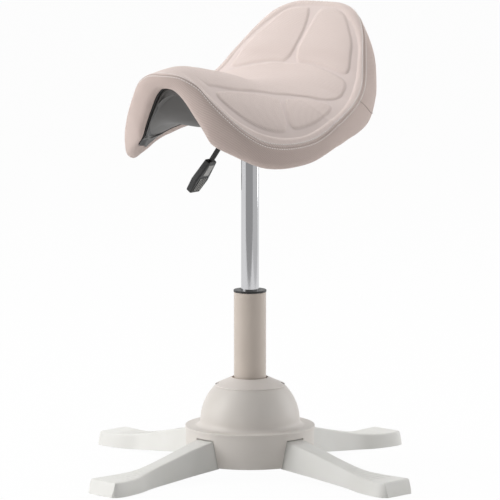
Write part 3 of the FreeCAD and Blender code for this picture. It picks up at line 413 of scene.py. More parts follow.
# the plain nose, as high as the roll: where it begins ahead, over what length, how far it reaches
# aside, and the widths over which it ends there and at the seam
NOSE_START, NOSE_LENGTH, NOSE_SIDE, NOSE_WIDTH, NOSE_SEAM = 168.0, 26.0, 62.0, 16.0, 9.0

# stitches: mm from one to the next, half their length, width and height, how far their rows lie
# from the seam on the top and down the band, and how far they stand out of the cloth
STITCH_PITCH, STITCH_SIZE = 4.2, (1.6, 0.85, 0.7)
STITCH_INSET, STITCH_DROP, STITCH_LIFT = 2.6, 2.4, 0.05
# the groove of the seam, a cord of painted shade: radius and how far down the band
GROOVE_RADIUS, GROOVE_DROP = 0.75, 0.6
# the joint in the side band: its turn at the top and what its lean and its curve add to that, where
# it begins and what it covers as shares of the depth, its beads' count, size and sink
JOINT_TURNS, JOINT_SHARES = (104.5, 9.0, 7.0), (0.02, 0.74)
JOINT_BEADS, JOINT_SIZE, JOINT_SINK = 60, (1.5, 0.65, 0.55), 0.1

# pads on one half, from place to place round each: ahead of the column and to the side
FRONT_PAD = ((170, 59), (152, 59), (126, 61), (96, 66), (67, 72), (48, 79), (45, 86), (60, 102),
             (73, 115), (83, 125), (96, 128), (117, 120), (142, 104), (161, 86), (174, 68))
REAR_PAD = ((33, 90), (50, 103), (65, 117), (73, 126), (70, 133), (40, 139), (10, 141), (-18, 137),
            (-25, 122), (-10, 99), (8, 90), (21, 86))
BACK_PAD = ((-111, 16), (-119, 6), (-132, 4), (-150, 4), (-164, 6), (-175, 10), (-179, 17),
            (-178, 38), (-172, 59), (-155, 80), (-139, 95), (-121, 104), (-107, 110), (-102, 104),
            (-103, 88), (-107, 66), (-111, 36))
CENTRE_PAD = ((-107, 0), (-107, 32), (-100, 70), (-92, 106), (-84, 120), (-69, 127), (-52, 128),
              (-39, 122), (-28, 109), (-19, 92), (5, 75), (41, 67), (61, 64), (80, 61), (103, 59),
              (124, 56), (142, 52), (160, 48), (177, 46), (184, 37), (192, 24), (199, 12), (201, 0))
ROLL_EDGE = ((210, 0), (208, 20), (202, 42), (197, 56), (188, 73), (172, 93), (149, 110),
             (124, 125), (96, 138), (60, 147), (19, 151), (-25, 151), (-60, 144), (-94, 132),
             (-120, 119), (-143, 105), (-162, 84), (-174, 61), (-182, 36), (-184, 0))


def smooth_value(table, x):
    """Cubic run through a table of (place, value), level beyond its ends."""
    if x <= table[0][0]:
        return table[0][1]
    if x >= table[-1][0]:
        return table[-1][1]
    last = len(table) - 1
    i = max(k for k in range(last) if table[k][0] <= x)

    def slope(k):
        a = table[max(k - 1, 0)]
        b = table[min(k + 1, last)]
        return (b[1] - a[1]) / (b[0] - a[0])

    x0, y0 = table[i]
    x1, y1 = table[i + 1]
    h = x1 - x0
    t = (x - x0) / h
    start = (2 * t ** 3 - 3 * t ** 2 + 1) * y0 + (t ** 3 - 2 * t ** 2 + t) * h * slope(i)
    return start + (3 * t ** 2 - 2 * t ** 3) * y1 + (t ** 3 - t ** 2) * h * slope(i + 1)


def run_of(table):
    """A table's smooth run, as a function of any number of places."""
    places = np.linspace(table[0][0], table[-1][0], 3000)
    values = np.array([smooth_value(table, x) for x in places])
    return lambda x: np.interp(x, places, values)


rim_run, crest_run, belly_run = run_of(RIM_SHARES), run_of(CREST_SHARES), run_of(BELLY_SHARES)
depth_run, flare_run, inset_run = run_of(DEPTH_SHARES), run_of(FLARE_SHARES), run_of(SEAM_INSET)
foot_run, lip_run, rise_run = run_of(FOOT_SHARES), run_of(LIP_REACH), run_of(LIP_RISE)


def units(ways):
    """The same ways, each of length one."""
    return ways / np.linalg.norm(ways, axis=-1, keepdims=True)


def distances(places):
    """How far along a run of places each of them lies."""
    steps = np.linalg.norm(np.diff(places, axis=0), axis=-1)
    return np.concatenate([np.zeros_like(steps[:1]), np.cumsum(steps, axis=0)])


def signed_power(value, power):
    """The power of a value's size, with the value's sign."""
    return np.sign(value) * np.abs(value) ** power


def plan_point(degrees, grow):
    """Places ahead and aside on the plan's outline, grown by this many mm."""
    c, s = np.cos(np.radians(degrees)), np.sin(np.radians(degrees))
    half = HALF_WIDTH + grow
    ahead = np.where(c >= 0, (FRONT + grow) * c, (BACK + grow) * signed_power(c, 2 / SQUARE))
    side = np.where(c >= 0, half * s, half * signed_power(s, 2 / SQUARE))
    return WIDEST + ahead, side


def length_share(ahead):
    """Where a place lies along the seat, from -1 at the back to 1 at the nose."""
    return (ahead - WIDEST) / np.where(ahead >= WIDEST, FRONT, BACK)


def half_width_at(ahead):
    """The plan's half width at a place ahead."""
    t = np.minimum(np.abs(length_share(ahead)), 1)
    power = np.where(ahead >= WIDEST, 2.0, SQUARE)
    return HALF_WIDTH * (1 - t ** power) ** (1 / power)


def degrees_at(ahead):
    """The turn at which the plan's outline passes a place ahead."""
    t = np.minimum(np.abs(length_share(ahead)), 1)
    turn = np.degrees(np.arccos(np.where(ahead >= WIDEST, t, t ** (SQUARE / 2))))
    return np.where(ahead >= WIDEST, turn, 180 - turn)


def folded(degrees):
    """Turns on either side as turns from 0 to 180."""
    around = np.mod(degrees, 360)
    return np.minimum(around, 360 - around)


def rim_height(degrees):
    """Height of the top's rim at a turn."""
    return SEAT_HEIGHT + BACK_RISE * rim_run(folded(degrees))


def between_heights(middle, edge, ahead, side, power):
    """Heights that go from the middle line to the edge by a power of the way out."""
    half = half_width_at(ahead)
    t = np.clip(np.abs(side) / np.maximum(half, 1), 0, 1)
    return np.where(half < TIP_WIDTH, middle, middle - (middle - edge) * t ** power)


def top_height(ahead, side):
    """Height of the bare top, without its pads and channels."""
    middle = SEAT_HEIGHT + BACK_RISE * crest_run(length_share(ahead))
    power = CROWN_POWER + BACK_POWER * np.clip(-length_share(ahead) / BACK_START - 1, 0, 1)
    return between_heights(middle, rim_height(degrees_at(ahead)), ahead, side, power)


def belly_height(ahead, side):
    """Height of the cushion's underside."""
    middle = SEAT_HEIGHT + BACK_RISE * belly_run(length_share(ahead))
    turn = degrees_at(ahead)
    edge = rim_height(turn) - EDGE * depth_run(turn) + LIP_HEIGHT
    return between_heights(middle, edge, ahead, side, BELLY_POWER)


def seam_places(turns, inwards=0.0):
    """Places of the seam, or beside it, on the bare top."""
    return lifted(np.column_stack(plan_point(turns, -inset_run(folded(turns)) - inwards)))


def lifted(points):
    """Plan places as points on the cushion's bare top."""
    points = np.asarray(points, float)
    return np.column_stack([points, top_height(points[:, 0], points[:, 1])])


def between(a, b, c, d, t):
    """The place at share t from b to c on a smooth run through all four."""
    return 0.5 * (2 * b + (c - a) * t + (2 * a - 5 * b + 4 * c - d) * t ** 2
                  + (3 * b - a - 3 * c + d) * t ** 3)


def closed_run(points):
    """A smooth closed run through the places, in even steps of about 1 mm."""
    points = np.asarray(points, float)
    count = len(points)
    found = []
    for i in range(count):
        a, b, c, d = (points[(i + k) % count] for k in (-1, 0, 1, 2))
        parts = max(int(np.linalg.norm(c - b)), 1)
        found += [between(a, b, c, d, t) for t in np.arange(parts) / parts]
    return np.array(found)


def fuller_profile(profile):
    """The band's profile with one more place between each two."""
    points = np.asarray(profile, float)
    last = len(points) - 1
    found = []
    for i in range(last):
        a, b, c, d = (points[min(max(i + k, 0), last)] for k in (-1, 0, 1, 2))
        found += [b, between(a, b, c, d, 0.5)]
    return np.array(found + [points[last]])


def grown(run, reach):
    """A closed run moved outwards by this many mm."""
    way = np.roll(run, -2, 0) - np.roll(run, 2, 0)
    out = units(np.column_stack([way[:, 1], -way[:, 0]]))
    turning = np.sum(run[:, 0] * np.roll(run[:, 1], -1) - np.roll(run[:, 0], -1) * run[:, 1])
    return run + out * reach * np.sign(turning)


def mirrored(half):
    """A run from the middle line to the middle line, closed over the other side."""
    return list(half) + [(s, -u) for s, u in reversed(half) if u]


def inside(points, run):
    """Which plan places lie inside a closed run."""
    within = np.zeros(len(points), bool)
    low, high = run.min(0), run.max(0)
    near = np.flatnonzero(((points >= low) & (points <= high)).all(1))
    x, y = points[near, 0], points[near, 1]
    odd = np.zeros(len(near), bool)
    for a, b in zip(run, np.roll(run, -1, 0)):
        if a[1] == b[1]:
            continue
        crosses = (a[1] > y) != (b[1] > y)
        odd ^= crosses & (x < (b[0] - a[0]) * (y - a[1]) / (b[1] - a[1]) + a[0])
    within[near] = odd
    return within


def distance_to(points, run):
    """How far each point is from the nearest place of a run."""
    tree = KDTree(len(run))
    for i, place in enumerate(run):
        tree.insert(place, i)
    tree.balance()
    return np.array([tree.find(p)[2] for p in points])


def rounded_rise(distance, width):
    """From 0 to 1 over the width: quick at first, then rounding over."""
    x = np.clip(distance / width, 0, 1)
    return 1 - (1 - x) ** ROUNDING


def cushion_relief(plan, bare):
    """How far the cushion stands over its bare top, and how much each place is pressed."""
    from_seam = distance_to(bare, seam_places(np.arange(0, 360, 0.2)))
    roll = closed_run(mirrored(ROLL_EDGE))
    from_roll = distance_to(bare, lifted(roll))
    within = inside(plan, roll)
    at_seam = SEAM_SHARE + (1 - SEAM_SHARE) * rounded_rise(from_seam, SEAM_WIDTH)
    height = np.where(within, 0.0, ROLL_HEIGHT * rounded_rise(from_roll, ROLL_WIDTH) * at_seam)
    pressed = np.where(within, 1.0, 1 - np.clip(from_roll / PRESSED_WIDTH, 0, 1))
    pads = [mirrored(CENTRE_PAD)]
    for half in (FRONT_PAD, REAR_PAD, BACK_PAD):
        pads += [half, [(s, -u) for s, u in half]]
    for pad in pads:
        run = grown(closed_run(pad), PAD_GROWTH)
        here = np.flatnonzero(inside(plan, run))
        gone = distance_to(bare[here], lifted(run))
        crown = np.sin(np.clip(gone / CROWN_WIDTH, 0, 1) * math.pi / 2)
        height[here] = PAD_HEIGHT * rounded_rise(gone, PAD_WIDTH) + PAD_CROWN * crown
        pressed[here] = 1 - np.clip(gone / PRESSED_WIDTH, 0, 1)
    nose = (np.clip((plan[:, 0] - NOSE_START) / NOSE_LENGTH, 0, 1)
            * np.clip((NOSE_SIDE - np.abs(plan[:, 1])) / NOSE_WIDTH, 0, 1))
    nose = nose * nose * (3 - 2 * nose) * np.clip(from_seam / NOSE_SEAM, 0, 1)
    return height + (ROLL_HEIGHT - height) * nose - CHANNEL_SINK, pressed * (1 - nose)


def even_turns(count):
    """Turns round the plan that stand evenly along the seam, and the seam's length."""
    fine = np.linspace(0, 360, 7201)
    gone = distances(seam_places(fine))
    return np.interp(np.arange(count) / count * gone[-1], gone, fine), gone[-1]


def raised(plan):
    """Plan places on the finished top, how much each is pressed, and the bare top's normals."""
    bare = lifted(plan)
    relief, pressed = cushion_relief(plan, bare)
    step = 0.5
    normals = np.ones((len(plan), 3))
    for axis, shift in enumerate(((step, 0), (0, step))):
        before, after = (plan - shift).T, (plan + shift).T
        normals[:, axis] = (top_height(*before) - top_height(*after)) / (2 * step)
    normals = units(normals)
    halfway_up = (normals + (0, 0, 1)) / 2
    return bare + halfway_up * relief[:, None], pressed, normals


def cushion_grid():
    """Rows of places from the middle of the top, out over the seam and in again below."""
    turns, seam_length = even_turns(COLUMNS)
    seam = plan_point(turns, -inset_run(folded(turns)))
    close = 1 - np.array(NEAR_SEAM) / FRONT
    shares = np.concatenate([np.linspace(MIDDLE_SHARE, close[0], TOP_ROWS), close[1:]])
    ahead, side = drawn_in(seam, shares[:, None])
    top, pressed, _ = raised(np.column_stack([ahead.ravel(), side.ravel()]))
    top = top.reshape(len(shares), COLUMNS, 3)
    pressed = pressed.reshape(len(shares), COLUMNS)
    rows = [band_row(turns, share, out) for share, out in fuller_profile(BAND_PROFILE)[1:]]
    for turn in np.radians(np.linspace(0, 90, BAND_TURN_ROWS)[1:]):
        share = BAND_TURN + (1 - BAND_TURN) * math.sin(turn)
        inset = foot_run(folded(turns)) * (1 - math.cos(turn))
        rows.append(band_row(turns, share, BAND_OUT * math.cos(turn), inset))
    rows += [lip_row(turns, 0, 0, share) for share in LIP_SHARES]
    rows += [lip_row(turns, inwards, up) for inwards, up in LIP_PROFILE]
    rows += [belly_row(seam, share, -BELLY_INSET) for share in BELLY_ROWS]
    return top, pressed, np.stack(rows), seam_length


def drawn_in(outline, share):
    """An outline of the plan drawn in to a share of its size."""
    ahead, side = outline
    return WIDEST + share * (ahead - WIDEST), share * side


def belly_row(outline, share, drop):
    """Places this many mm below the belly, on an outline drawn in."""
    ahead, side = drawn_in(outline, share)
    return np.column_stack([ahead, side, belly_height(ahead, side) - drop])


def band_out(share):
    """How far the side band stands out at a share of its depth."""
    return np.interp(share, *np.transpose(BAND_PROFILE))


def band_row(turns, share, out, inset=0.0):
    """Places on the side band: share of its depth down, mm out and share of the depth in."""
    depth = EDGE * depth_run(folded(turns))
    flare = EDGE * flare_run(folded(turns))
    eased = np.clip(1 - share / SEAM_EASE, 0, 1) ** 2
    ahead, side = plan_point(turns, flare * share + out - inset * depth
                             - eased * inset_run(folded(turns)))
    height = rim_height(turns) + eased * (seam_places(turns)[:, 2] - rim_height(turns))
    return np.column_stack([ahead, side, height - depth * share])


def lip_row(turns, inwards, up, share=1.0):
    """Places on the cloth under the seat, or this far in from its edge and above it."""
    around = folded(turns)
    row = band_row(turns, 1.0, -lip_run(around) * share - inwards, foot_run(around))
    row[:, 2] += rise_run(around) * share ** LIP_POWER + up
    return row


def wrapped_grid(places):
    """A grid laid over rows of places that each run once round the seat."""
    rows, columns = places.shape[:2]
    shape = bmesh.new()
    bmesh.ops.create_grid(shape, x_segments=columns, y_segments=rows - 1, size=0.5)
    shape.verts.ensure_lookup_table()
    spots = np.array([v.co[:2] for v in shape.verts])
    cells = (spots - spots.min(0)) / np.ptp(spots, axis=0) * (columns, rows - 1)
    column_of, row_of = np.rint(cells).astype(int).T
    for v in shape.verts:
        a, u, z = places[row_of[v.index], column_of[v.index] % columns]
        v.co = (u * MM, -a * MM, z * MM)
    for face in shape.faces:
        face.smooth = True
    return shape, row_of, column_of


def close_grid(shape):
    """Joins a grid's two sides and fills the openings at its ends."""
    bmesh.ops.remove_doubles(shape, verts=shape.verts, dist=0.002 * MM)
    rings = [e for e in shape.edges if e.is_boundary]
    bmesh.ops.holes_fill(shape, edges=rings, sides=0)
    bmesh.ops.recalc_face_normals(shape, faces=shape.faces)


def cushion():
    """The saddle's foam and cover, as one closed mesh whose UVs run along the cloth."""
    top, pressed, under, seam_length = cushion_grid()
    places = np.concatenate([top, under])
    shape, row_of, column_of = wrapped_grid(places)
    top_rows = len(top)
    cloth = shape.loops.layers.uv.new("cloth")
    press = shape.verts.layers.float.new("pressed")
    # the side band's rows carry the value for the cloth's painted shade
    band_shade_layer = shape.verts.layers.float.new("band")

    across = cloth_across(top)
    down = distances(places[top_rows - 1:]) * MM
    along = np.arange(COLUMNS + 1) / COLUMNS * seam_length * MM
    for v in shape.verts:
        if row_of[v.index] < top_rows:
            v[press] = pressed[row_of[v.index], column_of[v.index] % COLUMNS]
        else:
            v[band_shade_layer] = 1.0
    for face in shape.faces:
        on_band = max(row_of[v.index] for v in face.verts) >= top_rows
        for loop in face.loops:
            row, column = row_of[loop.vert.index], column_of[loop.vert.index]
            if on_band:
                loop[cloth].uv = (along[column], -down[row - top_rows + 1, column % COLUMNS])
            else:
                loop[cloth].uv = across[row, column % COLUMNS]
    close_grid(shape)
    made = piece("cushion", shape, fabric, "seat", ["seat_cushion"])


def cloth_across(top):
    """Where each place of the top lies on its sheet of cloth, in metres."""
    steps = np.linspace(0, 1, 25)
    ahead, side = top[..., 0], top[..., 1]
    run = np.zeros(ahead.shape)
    before = top_height(ahead, side * 0)
    for a, b in zip(steps, steps[1:]):
        here = top_height(ahead, side * b)
        run += np.hypot(side * (b - a), here - before)
        before = here
    line = np.linspace(WIDEST - BACK - 20, WIDEST + FRONT + 20, 2000)
    gone = distances(np.column_stack([line, top_height(line, line * 0)]))
    return np.stack([np.sign(side) * run * MM, np.interp(ahead, line, gone) * MM], -1)


def beads(shape, places, ways, normals, size):
    """Small rounded lengths of thread laid along a run; size is half length, width and height."""
    ball = bmesh.new()
    bmesh.ops.create_uvsphere(ball, u_segments=8, v_segments=5, radius=MM)
    for face in ball.faces:
        face.smooth = True
    one = bpy.data.meshes.new("bead")
    for place, way, normal in zip(places, ways, normals):
        x = Vector((way[1], -way[0], way[2])).normalized()
        z = Vector((normal[1], -normal[0], normal[2])).normalized()
        y = z.cross(x).normalized()
        turn = Matrix((x, y, z)).transposed().to_4x4()
        spot = Matrix.Translation(Vector((place[1], -place[0], place[2])) * MM)
        laid = ball.copy()
        laid.transform(spot @ turn @ Matrix.Diagonal((*size, 1)))
        laid.to_mesh(one)
        laid.free()
        shape.from_mesh(one)
    ball.free()
    bpy.data.meshes.remove(one)


def band_point(turns, drop):
    """Places this many mm below the seam on the band."""
    share = drop / (EDGE * depth_run(folded(turns)))
    return band_row(turns, share, band_out(share))


def seam_stitches():
    """Two rows of small stitches beside the seam that joins the top to the side band."""
    _, length = even_turns(COLUMNS)
    turns, _ = even_turns(int(length / STITCH_PITCH))
    ways = seam_places(turns + 0.2) - seam_places(turns - 0.2)
    shape = bmesh.new()
    places, _, normals = raised(seam_places(turns, STITCH_INSET)[:, :2])
    beads(shape, places + normals * STITCH_LIFT, ways, normals, STITCH_SIZE)
    places = band_point(turns, STITCH_DROP)
    down = band_point(turns, STITCH_DROP + 1) - band_point(turns, STITCH_DROP - 1)
    facing = units(np.cross(down, ways))
    beads(shape, places + facing * STITCH_LIFT, ways, facing, STITCH_SIZE)
    piece("seam_stitches", shape, thread, "seat", ())


def seam_groove():
    """A thin cord of cloth darkened with painted shade, for the groove where the top and the side
    band meet.
    """
    turns, _ = even_turns(COLUMNS)
    middle = band_point(turns, GROOVE_DROP)
    down = units(band_point(turns, GROOVE_DROP + 1) - seam_places(turns, 1.0))
    facing = units(np.cross(down, np.roll(middle, -1, 0) - middle))
    ring = [middle + GROOVE_RADIUS * (math.cos(a) * down + math.sin(a) * facing)
            for a in np.linspace(0, math.tau, 9)]
    shape, _, _ = wrapped_grid(np.stack(ring))
    close_grid(shape)
    piece("seam_groove", shape, groove_painted_shade, "seat", ())


def band_joints():
    """The upright joint in the side band, on each side, as beads of cloth darkened with painted
    shade.
    """
    line = np.linspace(0, 1, JOINT_BEADS)
    shares = JOINT_SHARES[0] + JOINT_SHARES[1] * line
    start, lean, curve = JOINT_TURNS
    shape = bmesh.new()
    for side in (1, -1):
        turns = (start + lean * line + curve * line ** 3) * side
        run = band_row(turns, shares, band_out(shares))
        ways = np.gradient(run, axis=0)
        around = band_row(turns + 1, shares, BAND_OUT) - band_row(turns - 1, shares, BAND_OUT)
        facing = units(np.cross(ways, around))
        outwards = (run - (WIDEST, 0, 0)) * (1, 1, 0)
        facing *= np.sign(np.sum(facing * outwards, axis=1))[:, None]
        beads(shape, run - facing * JOINT_SINK, ways, facing, JOINT_SIZE)
    piece("band_joints", shape, shaded_cloth, "seat", ())


cushion()
seam_stitches()
seam_groove()
band_joints()


# Shell, pan and steel below the seat

UNDER_TURNS = np.linspace(0, 360, 241)[:-1]
UNDER_OUTLINE = plan_point(UNDER_TURNS, 0.0)
SHELL_THICKNESS, SHELL_GAP, PAN_THICKNESS, PAN_GAP, PAN_BOTTOM = 4.0, 0.3, 3.0, 0.8, 542.0
SHELL_DROP = SHELL_GAP + SHELL_THICKNESS
SHELL_ROWS = (0.8, 0.65, 0.5, 0.3, MIDDLE_SHARE)
# the shell's rim: how far in from the lip, from where to where over it, and how wide it shows
RIM_INSET, RIM_TOP, RIM_BOTTOM = 4.0, 7.0, 1.6
STRIP_WIDTHS = ((0, 7.0), (18, 8.0), (34, 15.0), (60, 18.0), (100, 12.0), (180, 8.0))
# how far the pan reaches under the strip, over what width its edge dips and to how many gaps, the
# share of the plan at its shoulder, its rows by their share with how flat each is, and the half
# sizes of its opening
PAN_OVERLAP, PAN_EDGE, PAN_DIP, PAN_SHOULDER = 2.0, 4.0, 1.2, 0.88
PAN_ROWS = ((0.72, 0.35), (0.64, 0.68), (0.57, 0.85), (0.5, 0.94), (0.44, 0.985))
PAN_OPENING = (66.0, 50.0)
# the seat plate, and the shell's bosses that stand on it round the screws
PLATE_TOP = 554.0
SCREW_PLACES = [(42, 55), (42, -55), (-42, 55), (-42, -55)]
BOSS_RADIUS, BOSS_SINK = 9.0, 2.0


def under_row(share, drop):
    """Places this many mm below the belly, at a share of the plan."""
    return belly_row(UNDER_OUTLINE, share, drop)


def below(row, drop):
    """A row's places this many mm lower."""
    return row - np.array([0, 0, drop])


def towards(row, other, run):
    """A row's places moved this many mm towards another row."""
    return row + units(other - row) * run


def strip_width():
    """How wide the shell's strip shows at each turn."""
    return run_of(STRIP_WIDTHS)(folded(UNDER_TURNS))[:, None]


def cushion_shell():
    """The black carrier: its rim shows as a strip between the cloth and the pan."""
    outer = lip_row(UNDER_TURNS, RIM_INSET, RIM_TOP)
    strip = lip_row(UNDER_TURNS, RIM_INSET, RIM_BOTTOM)
    wide = under_row(SHELL_ROWS[0], SHELL_DROP)
    inner = towards(strip, wide, strip_width())
    rows = [under_row(share, SHELL_GAP) for share in reversed(SHELL_ROWS)] + [outer]
    # rows close beside each edge of the strip keep it crisp
    rows += [below(outer, 0.6), below(strip, -0.8), strip, towards(strip, inner, 0.9)]
    rows += [inner, towards(inner, wide, 1.0)]
    rows += [under_row(share, SHELL_DROP) for share in SHELL_ROWS]
    shape, _, _ = wrapped_grid(np.stack(rows))
    close_grid(shape)
    shaded(shape, 40)
    for x, y in SCREW_PLACES:
        top = float(belly_height(np.array([-y]), np.array([x]))[0]) - BOSS_SINK
        bmesh.ops.create_cone(shape, cap_ends=True, segments=48, radius1=BOSS_RADIUS * MM,
                              radius2=BOSS_RADIUS * MM, depth=(top - PLATE_TOP) * MM,
                              matrix=moved((x, y, (PLATE_TOP + top) / 2)))
    piece("cushion_shell", shape, shell_polypropylene, "seat", ["seat_shell"])


def underside_pan():
    """The grey cover: it follows the arch out to the strip and goes flat round the mechanism."""
    drop = SHELL_DROP + PAN_GAP
    strip = lip_row(UNDER_TURNS, RIM_INSET, RIM_BOTTOM)
    edge = towards(strip, under_row(SHELL_ROWS[0], SHELL_DROP), strip_width() - PAN_OVERLAP)
    wide = under_row(SHELL_ROWS[0], drop)
    level = PAN_BOTTOM + PAN_THICKNESS
    top = [below(edge, PAN_GAP), below(towards(edge, wide, PAN_EDGE), PAN_GAP * PAN_DIP),
           under_row(PAN_SHOULDER, drop), wide]
    for share, flatness in PAN_ROWS:
        row = under_row(share, drop)
        row[:, 2] -= np.maximum(row[:, 2] - level, 0) * flatness
        top.append(row)
    c, s = np.cos(np.radians(UNDER_TURNS)), np.sin(np.radians(UNDER_TURNS))
    reach = 1 / np.maximum(np.abs(c) / PAN_OPENING[0], np.abs(s) / PAN_OPENING[1])
    top.append(np.column_stack([c * reach, s * reach, np.full(len(c), level)]))
    low = [below(row, PAN_THICKNESS) for row in top]
    rows = low[::-1] + [below(low[0], -0.5)] + top + [low[-1]]
    shape, _, _ = wrapped_grid(np.stack(rows))
    close_grid(shape)
    shaded(shape, 40)
    piece("underside_pan", shape, pan_polypropylene, "seat", ["seat_pan"])


cushion_shell()
underside_pan()
recast("mechanism_case", "tilt_free_mechanism", 0.5)
recast("taper_sleeve", "mechanism_sleeve", 0.5)
recast("seat_plate", "mounting_plate", 0.4)


# Lever

# the grip's top end in the frame, how far it droops, and the middle and size of the plate let into
# it and of the ribs between its grooves, along, across and out of it
GRIP_TOP, LEVER_DROOP = (-80.6, 10.0, 477.65), 54.0
GRIP_PLATE = ((16.5, 0, -5.45), (21, 13.5, 1.3))
GRIP_RIBS = [((44.5, (k - 1.5) * 4.6, -5.5), (25, 1.7, 1.4)) for k in range(4)]


def grip_inlay():
    """The grey plate let into the grip and the ribs between its grooves."""
    lay = (moved(GRIP_TOP) @ Matrix.Rotation(math.radians(-LEVER_DROOP), 4, "Y")
           @ Matrix.Rotation(math.pi, 4, "Z"))
    shape = bmesh.new()
    for middle, size in [GRIP_PLATE] + GRIP_RIBS:
        box(shape, lay @ moved(middle), size)
    shaded(shape)
    softened(piece("grip_inlay", shape, inset_grey, "lever", ()), 0.3)


recast("lever_rod", "lever_bar", 0.0)
recast("lever_paddle", "lever_grip", 0.5)
grip_inlay()


# Column: profiles of (radius, height)

CYLINDER_PROFILE = [(11, 205), (14, 205), (14, 498), (13.1, 537), (3.05, 537), (3.05, 525),
                    (11, 525)]
TUBE_PROFILE = [(25, 44), (25, 279), (23.5, 279), (23.5, 48), (5.05, 48), (5.05, 44)]
BUSH_PROFILE = [(14.05, 219), (23.48, 219), (23.48, 279), (25.6, 279), (25.6, 282.2),
                (14.05, 282.2)]

turned_piece("chromed_cylinder", CYLINDER_PROFILE, chrome, "seat", ["gas_cylinder"])
turned_piece("painted_tube", TUBE_PROFILE, tube_coat, "column", ["lift_tube"])
turned_piece("top_bush", BUSH_PROFILE, black_nylon, "column", ["guide_bush"])


# Base

LEG_PLACES = ("front", "right", "rear", "left")
# foot ribs: mm out from the middle, width and height, and how far they stop short of the edge,
# which is where the top has fallen this far
RIB_REACHES = [212 + 9.5 * k for k in range(8)]
RIB_WIDTH, RIB_HEIGHT, RIB_MARGIN, EDGE_FALL = 1.6, 0.7, 5, 1.2
# black blocks in the cap's two notches: turns, reach, height over the rim, and size out, round and
# up
NOTCH_BLOCK_TURNS, NOTCH_BLOCK_REACH, NOTCH_BLOCK_RISE, NOTCH_BLOCK_SIZE = (35, 215), 51, 1.6, (5.0, 7.4, 2.6)

recast("base_dome", "dome", 0.6)
recast("dome_cap", "dome_cover", 0.5)
recast("base_hub", "hub", 0.8)
for place in LEG_PLACES:
    recast("leg_" + place, "moulded_leg_" + place, 1.0)


def foot_ribs():
    """Low ribs across the top of each foot, against slipping."""
    shape = bmesh.new()
    for place in LEG_PLACES:
        mesh = nodes["leg_" + place].data
        corners = [v.co for v in mesh.vertices]
        leg = BVHTree.FromPolygons(corners, [f.vertices for f in mesh.polygons])
        out = sum(corners, Vector()) * Vector((1, 1, 0))
        out.normalize()
        across = Vector((-out.y, out.x, 0))

        def top(reach, side):
            """The leg's face under a place 300 mm up, and its normal."""
            high = (out * reach + across * side) * MM + Vector((0, 0, 0.3))
            return leg.ray_cast(high, Vector((0, 0, -1)))[:2]

        for reach in RIB_REACHES:
            middle, normal = top(reach, 0)
            edge = next(s for s in range(2, 40) if not top(reach, s)[0]
                        or middle.z - top(reach, s)[0].z > EDGE_FALL * MM)
            along = across.cross(normal).normalized()
            lay = Matrix.Translation(middle) @ Matrix((along, across, normal)).transposed().to_4x4()
            box(shape, lay, (RIB_WIDTH, 2 * (edge - RIB_MARGIN), RIB_HEIGHT))
    shaded(shape)
    softened(piece("foot_ribs", shape, leg_polypropylene, "base", ()), 0.2)


def cap_notch_blocks():
    """Black blocks that make the two notches of the cap's rim dark."""
    low = min(v.co.z for v in nodes["dome_cap"].data.vertices) / MM
    shape = bmesh.new()
    for turn in NOTCH_BLOCK_TURNS:
        lay = Matrix.Rotation(math.radians(turn), 4, "Z") @ moved((NOTCH_BLOCK_REACH, 0, low + NOTCH_BLOCK_RISE))
        box(shape, lay, NOTCH_BLOCK_SIZE)
    shaded(shape)
    softened(piece("cap_notch_blocks", shape, black_nylon, "base", ()), 0.3)


foot_ribs()
cap_notch_blocks()


# Stage: floor, background, lamps and camera, in metres

WHITE = (1, 1, 1, 1)
FLOOR_REACH, FLOOR_DROP = 12, 0.0005
CARD_REACH, CARD_HEIGHT = 2.0, 1.0
# the photographer's camera: how far off, how high and how many degrees down, its focal length in
# pixels of a picture this many pixels wide, and its sensor's width in mm
CAMERA_REACH, CAMERA_HEIGHT, CAMERA_DOWN = 6.4, 1.2207, 7.8
LENS_PIXELS, PICTURE_PIXELS, SENSOR_WIDTH = 4168, 500, 36


def stage_floor():
    """A matte floor that shows white to the camera and in reflections, but for a faint shadow."""
    shape = bmesh.new()
    bmesh.ops.create_grid(shape, x_segments=2, y_segments=2, size=FLOOR_REACH)
    bmesh.ops.translate(shape, verts=shape.verts, vec=(0, 0, -FLOOR_DROP))
    made, tree = new_material("pale_studio_floor")
    path = add(tree, "ShaderNodeLightPath")
    seen = add(tree, "ShaderNodeMath", {"operation": "MAXIMUM"},
               {0: path.outputs["Is Camera Ray"], 1: path.outputs["Is Glossy Ray"]})
    share = add(tree, "ShaderNodeMath", {"operation": "MULTIPLY", 1: 0.97}, {0: seen.outputs[0]})
    paint = add(tree, "ShaderNodeBsdfDiffuse", {"Color": linear("#EDEDED")})
    glow = add(tree, "ShaderNodeEmission", {"Color": WHITE, "Strength": 1.0})
    mixed = add(tree, "ShaderNodeMixShader", None,
                {0: share.outputs[0], 1: paint.outputs[0], 2: glow.outputs[0]})
    close_material(tree, mixed)
    new_object("floor", shape, made)


def studio_world():
    """Soft light from all round, which the camera and reflections see as white."""
    world = bpy.data.worlds.new("studio")
    bpy.context.scene.world = world
    world.use_nodes = True
    tree = world.node_tree
    tree.nodes.clear()
    path = add(tree, "ShaderNodeLightPath")
    direct = add(tree, "ShaderNodeMath", {"operation": "MAXIMUM"},
                 {0: path.outputs["Is Camera Ray"], 1: path.outputs["Is Transmission Ray"]})
    seen = add(tree, "ShaderNodeMath", {"operation": "MAXIMUM"},
               {0: direct.outputs[0], 1: path.outputs["Is Glossy Ray"]})
    soft = add(tree, "ShaderNodeBackground", {"Color": WHITE, "Strength": 0.34})
    white = add(tree, "ShaderNodeBackground", {"Color": WHITE, "Strength": 1.0})
    mixed = add(tree, "ShaderNodeMixShader", None,
                {0: seen.outputs[0], 1: soft.outputs[0], 2: white.outputs[0]})
    add(tree, "ShaderNodeOutputWorld", None, {"Surface": mixed.outputs[0]})


